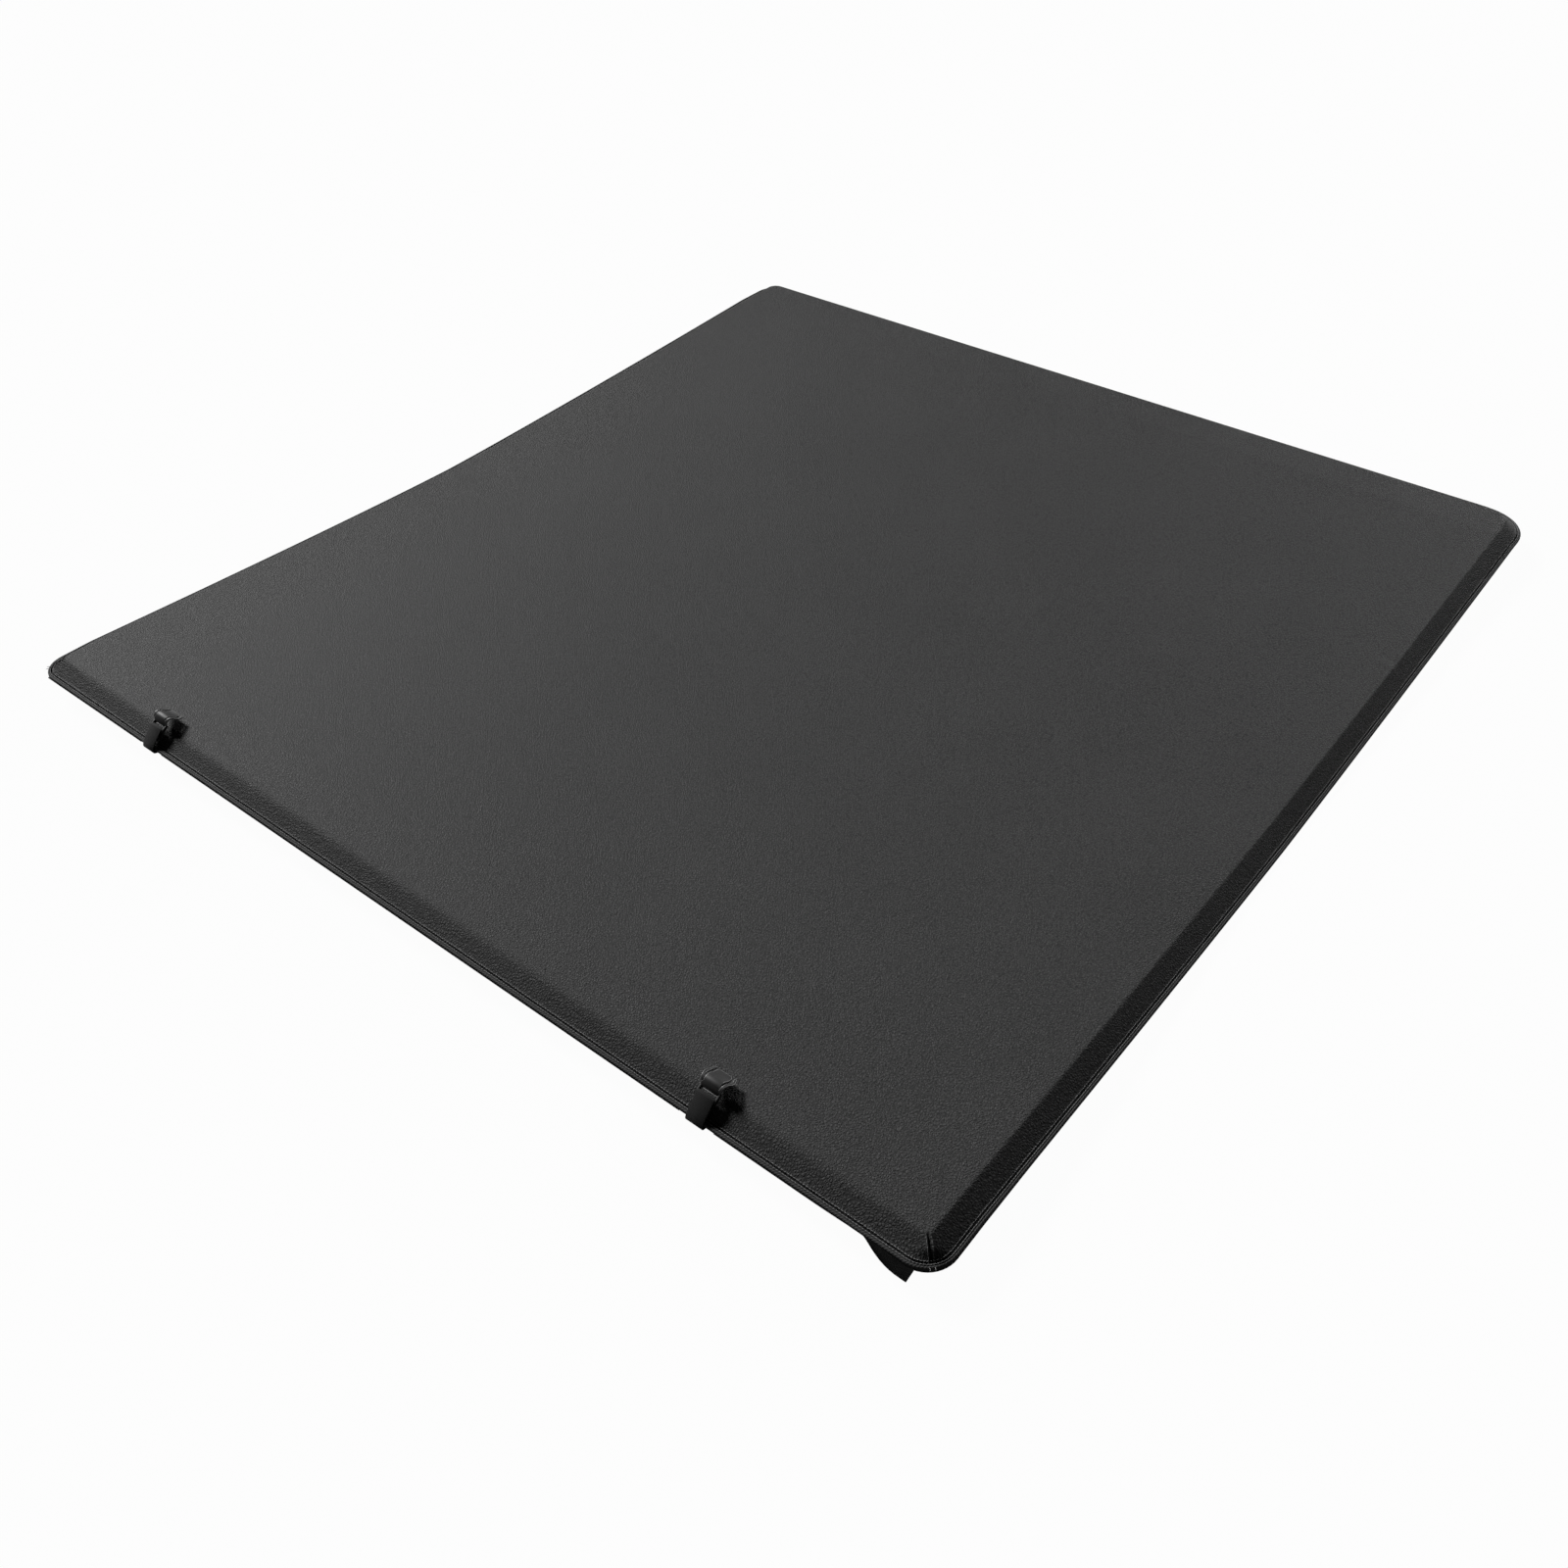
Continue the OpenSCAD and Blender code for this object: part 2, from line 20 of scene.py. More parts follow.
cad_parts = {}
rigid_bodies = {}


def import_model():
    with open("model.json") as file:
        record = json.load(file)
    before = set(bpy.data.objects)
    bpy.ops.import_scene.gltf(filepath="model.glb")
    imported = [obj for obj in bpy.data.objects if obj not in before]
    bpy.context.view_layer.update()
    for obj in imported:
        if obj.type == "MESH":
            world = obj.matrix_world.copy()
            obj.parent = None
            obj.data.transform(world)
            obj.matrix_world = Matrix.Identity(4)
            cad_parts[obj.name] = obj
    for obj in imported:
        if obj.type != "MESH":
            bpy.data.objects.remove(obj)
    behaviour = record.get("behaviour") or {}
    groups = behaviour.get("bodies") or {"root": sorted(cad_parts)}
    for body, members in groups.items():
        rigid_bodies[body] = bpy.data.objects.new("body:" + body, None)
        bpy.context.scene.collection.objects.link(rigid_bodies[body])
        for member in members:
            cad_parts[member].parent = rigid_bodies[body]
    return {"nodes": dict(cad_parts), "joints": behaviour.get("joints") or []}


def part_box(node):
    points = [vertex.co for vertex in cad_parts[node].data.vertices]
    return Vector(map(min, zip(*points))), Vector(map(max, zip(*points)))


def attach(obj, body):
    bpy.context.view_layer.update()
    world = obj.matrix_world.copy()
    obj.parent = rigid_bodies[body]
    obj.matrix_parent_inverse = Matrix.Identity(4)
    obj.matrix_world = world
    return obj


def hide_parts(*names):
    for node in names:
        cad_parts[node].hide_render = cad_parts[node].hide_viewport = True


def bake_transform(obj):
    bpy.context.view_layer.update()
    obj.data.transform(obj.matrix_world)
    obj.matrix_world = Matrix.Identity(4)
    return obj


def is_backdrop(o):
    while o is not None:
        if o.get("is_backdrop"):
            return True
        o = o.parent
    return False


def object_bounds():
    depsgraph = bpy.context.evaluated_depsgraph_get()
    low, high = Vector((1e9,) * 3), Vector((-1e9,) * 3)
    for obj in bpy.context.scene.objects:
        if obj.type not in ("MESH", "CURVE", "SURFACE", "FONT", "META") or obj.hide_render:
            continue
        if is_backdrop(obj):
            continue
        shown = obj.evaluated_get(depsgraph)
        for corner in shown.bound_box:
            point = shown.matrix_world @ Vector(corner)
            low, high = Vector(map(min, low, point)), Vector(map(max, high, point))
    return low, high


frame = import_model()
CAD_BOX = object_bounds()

LOG = logging.getLogger("cover")
MM = 0.001
Pair = tuple[float, float]


# ---- Small helpers -----------------------------------------------------------------------------------
def ease(value: float, low: float, high: float) -> float:
    """Rise smoothly from 0 to 1 as value goes from low to high."""
    share = min(1.0, max(0.0, (value - low) / (high - low)))
    return share * share * (3 - 2 * share)


def ramp(value: float, softness: float) -> float:
    """Zero below zero and value above it, with a rounded corner of that softness."""
    return 0.5 * (value + math.sqrt(value * value + softness * softness))


def rounded(value: float, half: float) -> float:
    """Zero below zero and value above it, with a rounded corner that ends half away from it."""
    if abs(value) >= half:
        return max(0.0, value)
    return (value + half) ** 2 / (4 * half)


def hump(value: float, centre: float, half: float) -> float:
    """A smooth hump of height 1 round centre that ends half away from it."""
    share = min(1.0, abs(value - centre) / half)
    return (1 - share * share) ** 2


def bezier(points: Sequence[Pair], count: int) -> list[Pair]:
    """Points along a cubic curve.

    Args:
        points: the four control points.
        count: number of steps.

    Returns:
        count + 1 points from the first control point to the last.
    """
    found = []
    for i in range(count + 1):
        t, u = i / count, 1 - i / count
        shares = (u * u * u, 3 * u * u * t, 3 * u * t * t, t * t * t)
        found.append(tuple(sum(s * p[axis] for s, p in zip(shares, points)) for axis in (0, 1)))
    return found


def arc(centre: Pair, radius: float, start: float, stop: float, count: int) -> list[Pair]:
    """Points along an arc, with its angles in degrees."""
    angles = (math.radians(start + (stop - start) * i / count) for i in range(count + 1))
    return [(centre[0] + radius * math.cos(a), centre[1] + radius * math.sin(a)) for a in angles]


def scaled(points: Iterable[Pair], unit: float = MM) -> list[Pair]:
    """The same points in metres."""
    return [(a * unit, b * unit) for a, b in points]


def finish_mesh(bm: bmesh.types.BMesh, name: str, materials: Sequence[bpy.types.Material],
                sharp_deg: float = 40.0, recalculate: bool = True) -> bpy.types.Object:
    """Turn a bmesh into a smooth-shaded object at the origin.

    Args:
        bm: the finished shape; it is freed.
        name: name of the piece.
        materials: its materials, in slot order.
        sharp_deg: edges that bend more than this stay sharp.
        recalculate: make all faces look outwards first.

    Returns:
        The new object, linked to the scene.
    """
    if recalculate:
        bmesh.ops.recalc_face_normals(bm, faces=bm.faces[:])
    mesh = bpy.data.meshes.new(name)
    bm.to_mesh(mesh)
    bm.free()
    mesh.polygons.foreach_set("use_smooth", [True] * len(mesh.polygons))
    mesh.set_sharp_from_angle(angle=math.radians(sharp_deg))
    for material in materials:
        mesh.materials.append(material)
    made = bpy.data.objects.new(name, mesh)
    bpy.context.scene.collection.objects.link(made)
    return made


# ---- The cover's own surface ---------------------------------------------------------------------------
@dataclass(frozen=True)
class Cover:
    """Plan, droop and border of the cover, the same as the CAD part's."""

    half_w: float
    half_l: float
    flat_z: float
    folds: tuple[float, ...]
    bevel_w: float = 29 * MM
    bevel_h: float = 18 * MM
    cab_corner_r: float = 38 * MM
    tail_left_r: float = 46 * MM
    tail_right_r: float = 72 * MM
    skin_t: float = 1.5 * MM
    sag: float = 27.8 * MM
    apex_y: float = -65 * MM
    sag_power: float = 1.35
    cab_flat: float = 85 * MM
    tail_flat: float = 100 * MM
    flange_w: float = 6.6 * MM
    flange_h: float = 1.6 * MM
    groove_in: float = 6.0 * MM
    ridge_in: float = 7.6 * MM
    side_softness: float = 1.3 * MM
    cab_softness: float = 4.6 * MM

    @property
    def hem_z(self) -> float:
        """Height of the outer edge of the hem at both end bars."""
        return self.flat_z - self.bevel_h

    def mid(self, k: int) -> float:
        """Middle of fold panel k, or the end of the cover for the header and tail panels."""
        if k < 1:
            return -self.half_l
        return self.half_l if k >= len(self.folds) else (self.folds[k - 1] + self.folds[k]) / 2

    def droop(self, y: float) -> float:
        """How far the cover sags below its end bars at y."""
        if y < self.apex_y:
            reach = self.half_l - self.cab_flat + self.apex_y
        else:
            reach = self.half_l - self.tail_flat - self.apex_y
        share = abs(y - self.apex_y) / reach
        return self.sag * (1 - share ** self.sag_power) if share < 1 else 0.0

    def corner(self, x: float, y: float) -> tuple[float, float, float]:
        """Radius and centre of the rounded corner in the quarter that holds (x, y)."""
        if y < 0:
            r = self.cab_corner_r
        else:
            r = self.tail_right_r if x > 0 else self.tail_left_r
        return r, math.copysign(self.half_w - r, x), math.copysign(self.half_l - r, y)

    def edge_depth(self, x: float, y: float) -> float:
        """Distance in from the rounded outer edge of the hem."""
        r, cx, cy = self.corner(x, y)
        dx, dy = (x - cx) * math.copysign(1, cx), (y - cy) * math.copysign(1, cy)
        if dx > 0 and dy > 0:
            return r - math.hypot(dx, dy)
        return min(self.half_w - abs(x), self.half_l - abs(y))

    def depth(self, x: float, y: float) -> float:
        """Distance in from the edge that the border's height follows; the cab corners are mitred."""
        d = self.edge_depth(x, y)
        if y > 0:
            return d
        mitred = min(self.half_w - abs(x), self.half_l - abs(y))
        return d + (mitred - d) * ease(d, 8 * MM, 17 * MM)

    def softness(self, x: float, y: float) -> float:
        """Roundness of the crease, soft along the cab edge and crisp along the sides."""
        share = ease(self.half_w - abs(x), 35 * MM, 130 * MM) * (1 - ease(y + self.half_l, 60 * MM, 95 * MM))
        return self.side_softness + (self.cab_softness - self.side_softness) * share

    def border(self, d: float, softness: float) -> float:
        """Height of the top face above the outer edge, d in from it."""
        pitch = (self.bevel_h - self.flange_h) / (self.bevel_w - self.flange_w)
        slope = self.flange_h + pitch * ramp(d - self.flange_w, 0.8 * MM)
        height = self.bevel_h - rounded(self.bevel_h - slope, softness)
        groove = 1.35 * MM * hump(d, self.groove_in, 1.3 * MM)
        ridge = 0.5 * MM * hump(d, self.ridge_in, 1.0 * MM)
        return height - groove + ridge

    def corner_lip(self, x: float, y: float) -> float:
        """How far the lower fold of the binding sags at the right-hand cab corner."""
        near = ease(x, self.half_w - 60 * MM, self.half_w - 32 * MM)
        return 3.2 * MM * near * (1 - ease(y + self.half_l, 40 * MM, 190 * MM))

    def ripple(self, x: float, y: float) -> float:
        """Slight unevenness of the stretched sheet, none along the hem."""
        calm = ease(self.edge_depth(x, y), 20 * MM, 90 * MM)
        broad = noise.noise(Vector((x * 3.1, y * 2.3, 0.7)))
        fine = noise.noise(Vector((x * 11.0, y * 9.0, 4.2)))
        return calm * (0.9 * MM * broad + 0.16 * MM * fine)

    def pull(self, x: float, y: float) -> float:
        """Two short pull wrinkles across the right-hand crease."""
        total = 0.0
        for start, height in ((0.335, 0.55 * MM), (0.352, -0.45 * MM)):
            off = y - start - 0.35 * (self.half_w - self.bevel_w - x)
            total += height * hump(off, 0, 9 * MM) * hump(x, self.half_w - 38 * MM, 34 * MM)
        return total

    def seam(self, x: float, y: float) -> float:
        """Groove and lips of the mitre seam at the cab corners, as a height."""
        across = ((self.half_w - abs(x)) - (self.half_l + y)) / math.sqrt(2)
        along = min(self.half_w - abs(x), self.half_l + y)
        hold = ease(along, 6.5 * MM, 9.5 * MM) * (1 - ease(along, 29.5 * MM, 32.5 * MM))
        return hold * (0.5 * MM * hump(abs(across), 2.3 * MM, 1.2 * MM) - 1.8 * MM * hump(across, 0, 1.5 * MM))

    def top(self, x: float, y: float) -> float:
        """Height of the top face at (x, y)."""
        lift = self.border(self.depth(x, y), self.softness(x, y)) + self.ripple(x, y) + self.pull(x, y)
        if y < 0:
            lift += self.seam(x, y)
        return self.hem_z + lift - self.droop(y)

    def rows(self, low: float, high: float) -> list[float]:
        """Cuts across the cover between low and high, closer together where it folds."""
        fine, coarse, reach = 5.5 * MM, 16 * MM, 7
        marks = [f + i * fine for f in self.folds for i in range(-reach, reach + 1)]
        y = low
        while y < high:
            if all(abs(y - m) > 0.6 * fine for m in marks):
                marks.append(y)
            y += coarse
        inside = sorted(m for m in marks if low + 1 * MM < m < high - 1 * MM)
        return [low, *inside, high]


@dataclass(frozen=True)
class Station:
    """A place on the outer edge of the hem, with the way in towards the middle."""

    cover: Cover
    x: float
    y: float
    in_x: float
    in_y: float
    run: float

    def at(self, depth: float, height: float) -> Vector:
        """The point that lies depth in from the edge and height above it."""
        z = self.cover.hem_z + height - self.cover.droop(self.y)
        if height < -0.6 * MM:
            z -= self.cover.corner_lip(self.x, self.y)
        return Vector((self.x + self.in_x * depth, self.y + self.in_y * depth, z))


@dataclass(frozen=True)
class Rail:
    """A place on a strip that runs in the YZ plane, with its outward normal."""

    x: float
    y: float
    z: float
    normal: Pair
    run: float

    def at(self, across: float, out: float) -> Vector:
        """The point across along X and out along the normal."""
        return Vector((self.x + across, self.y + self.normal[0] * out, self.z + self.normal[1] * out))


def with_runs(cover: Cover, places: Sequence[tuple[float, float, float, float]]) -> list[Station]:
    """Stations through places on the edge, each with its distance along the edge."""
    stations, run, last = [], 0.0, None
    for x, y, in_x, in_y in places:
        if last is not None:
            run += math.hypot(x - last[0], y - last[1])
        stations.append(Station(cover, x, y, in_x, in_y, run))
        last = (x, y)
    return stations


def side_walk(cover: Cover, side: int, low: float, high: float) -> list[Station]:
    """Stations along one side edge, side being -1 for the left and 1 for the right."""
    return with_runs(cover, [(side * cover.half_w, y, -side, 0.0) for y in cover.rows(low, high)])


def end_walk(cover: Cover, end: int, inner: float) -> list[Station]:
    """Stations round one end of the cover, from the left side to the right.

    Args:
        cover: the cover.
        end: -1 for the cab end and 1 for the tailgate end.
        inner: where the walk starts and stops on the side edges.

    Returns:
        The stations, in order.
    """
    arc_steps, edge_steps = 12, 60
    places = []
    for side in (-1, 1):
        r, cx, cy = cover.corner(side, end)
        rows = cover.rows(min(inner, cy), max(inner, cy))
        straight = [(side * cover.half_w, y, -side, 0.0) for y in (rows if end > 0 else rows[::-1])]
        turn = []
        for i in range(1, arc_steps):
            a = math.pi / 2 * i / arc_steps
            nx, ny = side * math.cos(a), end * math.sin(a)
            turn.append((cx + nx * r, cy + ny * r, -nx, -ny))
        half = straight + turn + [(cx, end * cover.half_l, 0.0, -end)]
        places.append(half)
    left, right = places[0], places[1][::-1]
    start, stop = left[-1][0], right[0][0]
    middle = [(start + (stop - start) * i / edge_steps, end * cover.half_l, 0.0, -end) for i in range(1, edge_steps)]
    return with_runs(cover, left + middle + right)


def rails(x: float, points: Sequence[Pair]) -> list[Rail]:
    """Rails along a curve of (y, z) points, with normals square to it."""
    found, run = [], 0.0
    for i, (y, z) in enumerate(points):
        before, after = points[max(0, i - 1)], points[min(len(points) - 1, i + 1)]
        dy, dz = after[0] - before[0], after[1] - before[1]
        size = math.hypot(dy, dz)
        if i:
            run += math.hypot(y - points[i - 1][0], z - points[i - 1][1])
        found.append(Rail(x, y, z, (-dz / size, dy / size), run))
    return found


def sweep(stations: Sequence["Station | Rail | ThreadStation"], section: Sequence[Pair],
          shade: Callable[[int], float] | None = None) -> bmesh.types.BMesh:
    """A closed section carried along stations, as a closed solid.

    Args:
        stations: places that turn a section's pair into a point.
        section: the corners of the section, in order.
        shade: painted shade at each corner of the section, from 0 to 1.

    Returns:
        The solid, with the attributes lay (distance along, distance round, 0) and shade.
    """
    n, m = len(stations) - 1, len(section)
    girth = [0.0]
    for i in range(m):
        a, b = section[i], section[(i + 1) % m]
        girth.append(girth[-1] + math.hypot(b[0] - a[0], b[1] - a[1]))
    bm = bmesh.new()
    bmesh.ops.create_grid(bm, x_segments=n, y_segments=m, size=1.0)
    lay = bm.verts.layers.float_vector.new("lay")
    dark = bm.verts.layers.float.new("shade")
    for v in bm.verts:
        i, j = round((v.co.x + 1) / 2 * n), round((v.co.y + 1) / 2 * m)
        v[lay] = (stations[i].run, girth[j], 0.0)
        v[dark] = shade(j % m) if shade else 0.0
        v.co = stations[i].at(*section[j % m])
    bmesh.ops.remove_doubles(bm, verts=bm.verts[:], dist=1e-7)
    bmesh.ops.holes_fill(bm, edges=[e for e in bm.edges if e.is_boundary], sides=0)
    return bm


def joined(parts: Iterable[bmesh.types.BMesh]) -> bmesh.types.BMesh:
    """One bmesh that holds all the parts, which are freed."""
    parts = list(parts)
    whole = parts[0]
    spare = bpy.data.meshes.new("spare")
    for part in parts[1:]:
        part.to_mesh(spare)
        part.free()
        whole.from_mesh(spare)
    bpy.data.meshes.remove(spare)
    return whole


def ribbon(points: Sequence[Pair], thickness: float) -> list[Pair]:
    """Outline of a strip of that thickness whose middle line runs through points."""
    sides: list[list[Pair]] = [[], []]
    for i, (a, b) in enumerate(points):
        before, after = points[max(0, i - 1)], points[min(len(points) - 1, i + 1)]
        da, db = after[0] - before[0], after[1] - before[1]
        size = math.hypot(da, db)
        for side, sign in zip(sides, (1, -1)):
            side.append((a - sign * thickness / 2 * db / size, b + sign * thickness / 2 * da / size))
    return sides[0] + sides[1][::-1]


def rounded_strip(width: float, thickness: float, radius: float) -> list[Pair]:
    """Section of a flat strip with rounded edges, width across and thickness high."""
    w, t = width / 2 - radius, thickness / 2 - radius
    corners = (((w, t), 0), ((-w, t), 90), ((-w, -t), 180), ((w, -t), 270))
    return [p for centre, start in corners for p in arc(centre, radius, start, start + 90, 2)]


# ---- Shader kit ------------------------------------------------------------------------------------------
@dataclass(frozen=True)
class Wire:
    """A value in a material's nodes, used in ordinary Python sums."""

    graph: "Graph"
    socket: bpy.types.NodeSocket

    def _math(self, operation: str, other: "Wire | float", swap: bool = False) -> "Wire":
        """Join this value and another with a Math node."""
        first, second = (other, self) if swap else (self, other)
        return self.graph.wire("ShaderNodeMath", {"operation": operation}, {0: first, 1: second})

    def __add__(self, other: "Wire | float") -> "Wire":
        """Sum."""
        return self._math("ADD", other)

    def __sub__(self, other: "Wire | float") -> "Wire":
        """Difference."""
        return self._math("SUBTRACT", other)

    def __rsub__(self, other: float) -> "Wire":
        """Reflected difference."""
        return self._math("SUBTRACT", other, swap=True)

    def __mul__(self, other: "Wire | float") -> "Wire":
        """Product."""
        return self._math("MULTIPLY", other)

    __radd__, __rmul__ = __add__, __mul__

    def sine(self) -> "Wire":
        """Sine of the value, in radians."""
        return self.graph.wire("ShaderNodeMath", {"operation": "SINE"}, {0: self})

    def power(self, exponent: float) -> "Wire":
        """The value raised to exponent."""
        return self._math("POWER", exponent)

    def limited(self) -> "Wire":
        """The value kept from 0 to 1."""
        return self.graph.wire("ShaderNodeClamp", {}, {"Value": self})


class Graph:
    """A material's node tree, with one method that makes any node."""

    def __init__(self, name: str) -> None:
        """Start an empty material."""
        self.material = bpy.data.materials.new(name)
        self.material.use_nodes = True
        self.tree = self.material.node_tree
        self.tree.nodes.clear()

    def node(self, kind: str, settings: dict[str, Any], inputs: dict[int | str, Any]) -> bpy.types.Node:
        """Make a node.

        Args:
            kind: the node's type.
            settings: its own settings, with a colour ramp's stops as (place, grey) pairs under "stops".
            inputs: values or wires for its sockets, by name or number.

        Returns:
            The node.
        """
        node = self.tree.nodes.new(kind)
        for key, value in settings.items():
            if key == "stops":
                for element, (place, grey) in zip(node.color_ramp.elements, value):
                    element.position, element.color = place, (grey, grey, grey, 1)
            else:
                setattr(node, key, value)
        for key, value in inputs.items():
            if isinstance(value, Wire):
                self.tree.links.new(value.socket, node.inputs[key])
            else:
                node.inputs[key].default_value = value
        return node

    def wire(self, kind: str, settings: dict[str, Any], inputs: dict[int | str, Any], output: int | str = 0) -> Wire:
        """Make a node and return one of its outputs."""
        return Wire(self, self.node(kind, settings, inputs).outputs[output])

    def lay(self) -> Wire:
        """Place on the flat cloth, from the piece's own attribute."""
        return self.wire("ShaderNodeAttribute", {"attribute_name": "lay"}, {}, "Vector")

    def shade(self) -> Wire:
        """Painted shade in grooves and folds, from the piece's own attribute."""
        return self.wire("ShaderNodeAttribute", {"attribute_name": "shade"}, {}, "Fac")

    def place(self) -> Wire:
        """Place in the object's own space."""
        return self.wire("ShaderNodeTexCoord", {}, {}, "Object")

    def stretched(self, vector: Wire, scale: tuple[float, float, float]) -> Wire:
        """The vector scaled along each axis."""
        return self.wire("ShaderNodeVectorMath", {"operation": "MULTIPLY"}, {0: vector, 1: scale})

    def axis(self, vector: Wire, name: str) -> Wire:
        """One axis of a vector."""
        return self.wire("ShaderNodeSeparateXYZ", {}, {0: vector}, name)

    def noise(self, vector: Wire, scale: float, detail: float = 2.0) -> Wire:
        """Smooth noise from 0 to 1."""
        settings = {"noise_dimensions": "3D"}
        return self.wire("ShaderNodeTexNoise", settings, {"Vector": vector, "Scale": scale, "Detail": detail}, 0)

    def cells(self, vector: Wire, scale: float) -> Wire:
        """Distance to the edge of irregular cells, as on leather."""
        settings = {"feature": "DISTANCE_TO_EDGE"}
        return self.wire("ShaderNodeTexVoronoi", settings, {"Vector": vector, "Scale": scale}, "Distance")

    def tone(self, share: Wire, dark: float, light: float) -> Wire:
        """A grey between dark and light."""
        greys = {"A": (dark, dark, dark, 1), "B": (light, light, light, 1)}
        node = self.node("ShaderNodeMix", {"data_type": "RGBA"}, {0: share, 6: greys["A"], 7: greys["B"]})
        return Wire(self, node.outputs[2])

    def bump(self, height: Wire, distance: float, strength: float = 1.0) -> Wire:
        """A normal bent by a height from 0 to 1."""
        return self.wire("ShaderNodeBump", {}, {"Strength": strength, "Distance": distance, "Height": height})

    def surface(self, colour: Wire, roughness: Wire | float, normal: Wire,
                constants: dict[str, float]) -> bpy.types.Material:
        """Close the material with its one shader and return it."""
        inputs = {"Base Color": colour, "Roughness": roughness, "Normal": normal, **constants}
        shader = self.node("ShaderNodeBsdfPrincipled", {}, inputs)
        output = self.node("ShaderNodeOutputMaterial", {}, {})
        self.tree.links.new(shader.outputs[0], output.inputs["Surface"])
        return self.material


# ---- Finishes ----------------------------------------------------------------------------------------------
@dataclass(frozen=True)
class LeatherGrain:
    """Coated fabric with a fine leather grain, with painted shade in its grooves."""

    name: str = "leather_grain_vinyl"
    tone: float = 0.020
    cell_scale: float = 330.0
    painted_shade_tone: float = 0.001
    grain_depth: float = 0.9 * MM

    def build(self) -> bpy.types.Material:
        """Make the material."""
        g = Graph(self.name)
        lay = g.lay()
        warp = g.noise(lay, 160.0)
        bent = g.wire("ShaderNodeVectorMath", {"operation": "MULTIPLY_ADD"},
                      {0: g.wire("ShaderNodeTexNoise", {}, {"Vector": lay, "Scale": 160.0}, 1),
                       1: (0.0016, 0.0016, 0.0016), 2: lay})
        pebble = (g.cells(bent, self.cell_scale) * 3.2).limited()
        pores = g.noise(lay, 1500.0, 3.0)
        specks = g.noise(lay, 420.0, 1.0)
        broad = g.noise(lay, 4.5, 3.0)
        height = pebble * 0.5 + specks * 0.4 + pores * 0.1
        mottle = (0.55 * pebble + 1.6 * (specks - 0.5) + 0.3 * (warp - 0.5) + 0.4 * (broad - 0.5) + 0.15).limited()
        colour = g.tone(mottle, self.tone * 0.25, self.tone * 1.9)
        # Painted shade: where the shade attribute is high, the colour goes to near black.
        shaded = g.node("ShaderNodeMix", {"data_type": "RGBA"},
                        {0: g.shade(), 6: colour, 7: (self.painted_shade_tone,) * 3 + (1,)})
        roughness = (0.64 + 0.12 * pores + 0.06 * broad - 0.06 * pebble).limited()
        return g.surface(Wire(g, shaded.outputs[2]), roughness, g.bump(height, self.grain_depth),
                         {"Specular IOR Level": 0.3, "IOR": 1.48})


@dataclass(frozen=True)
class Scrim:
    """Woven backing of the coated fabric, seen from below."""

    name: str = "woven_backing"
    tone: float = 0.035
    pitch: float = 1.3 * MM

    def build(self) -> bpy.types.Material:
        """Make the material."""
        g = Graph(self.name)
        lay = g.lay()
        turn = 2 * math.pi / self.pitch
        warp = (g.axis(lay, "X") * turn).sine()
        weft = (g.axis(lay, "Y") * turn).sine()
        weave = (0.5 + 0.25 * warp + 0.25 * weft).limited()
        fuzz = g.noise(lay, 900.0, 3.0)
        stain = g.noise(lay, 7.0, 3.0)
        colour = g.tone((weave * 0.6 + fuzz * 0.4 + stain * 0.5 - 0.3).limited(), self.tone * 0.6, self.tone * 1.5)
        return g.surface(colour, 0.86 + 0.1 * fuzz, g.bump(weave * 0.7 + fuzz * 0.3, 0.25 * MM),
                         {"Specular IOR Level": 0.25, "Sheen Weight": 0.12, "Sheen Roughness": 0.5})


@dataclass(frozen=True)
class Ribbed:
    """Woven strip with slanted ribs, for the binding and the webbing."""

    name: str
    tone: float
    rib_pitch: float
    slant: float
    depth: float = 0.3 * MM
    contrast: float = 0.45
    roughness: float = 0.72

    def build(self) -> bpy.types.Material:
        """Make the material."""
        g = Graph(self.name)
        lay = g.lay()
        along, across = g.axis(lay, "X"), g.axis(lay, "Y")
        turn = 2 * math.pi / self.rib_pitch
        ribs = 0.5 + 0.5 * ((along + across * self.slant) * turn).sine()
        picks = 0.5 + 0.5 * (across * (turn * 1.9) + along * (turn * 0.4)).sine()
        fuzz = g.noise(lay, 1300.0, 3.0)
        weave = (ribs * 0.6 + picks * 0.22 + fuzz * 0.18).limited()
        colour = g.tone((weave + 0.2 * fuzz).limited(), self.tone * (1 - self.contrast), self.tone * (1 + self.contrast))
        # Painted shade: where the shade attribute is high, the colour goes to near black.
        shaded = g.node("ShaderNodeMix", {"data_type": "RGBA"}, {0: g.shade(), 6: colour, 7: (0.004, 0.004, 0.004, 1)})
        return g.surface(Wire(g, shaded.outputs[2]), self.roughness + 0.15 * (1 - weave), g.bump(weave, self.depth),
                         {"Specular IOR Level": 0.3, "Sheen Weight": 0.05, "Sheen Roughness": 0.4})


@dataclass(frozen=True)
class Pile:
    """Loop pile of the fastener strips."""

    name: str = "loop_pile"
    tone: float = 0.045

    def build(self) -> bpy.types.Material:
        """Make the material."""
        g = Graph(self.name)
        lay = g.lay()
        curls = g.noise(lay, 1100.0, 4.0)
        tufts = g.noise(lay, 260.0, 2.0)
        mix = (curls * 0.7 + tufts * 0.5 - 0.1).limited()
        return g.surface(g.tone(mix, self.tone * 0.35, self.tone * 1.7), 0.92 + 0.06 * curls,
                         g.bump(mix, 0.7 * MM), {"Specular IOR Level": 0.2, "Sheen Weight": 0.25})


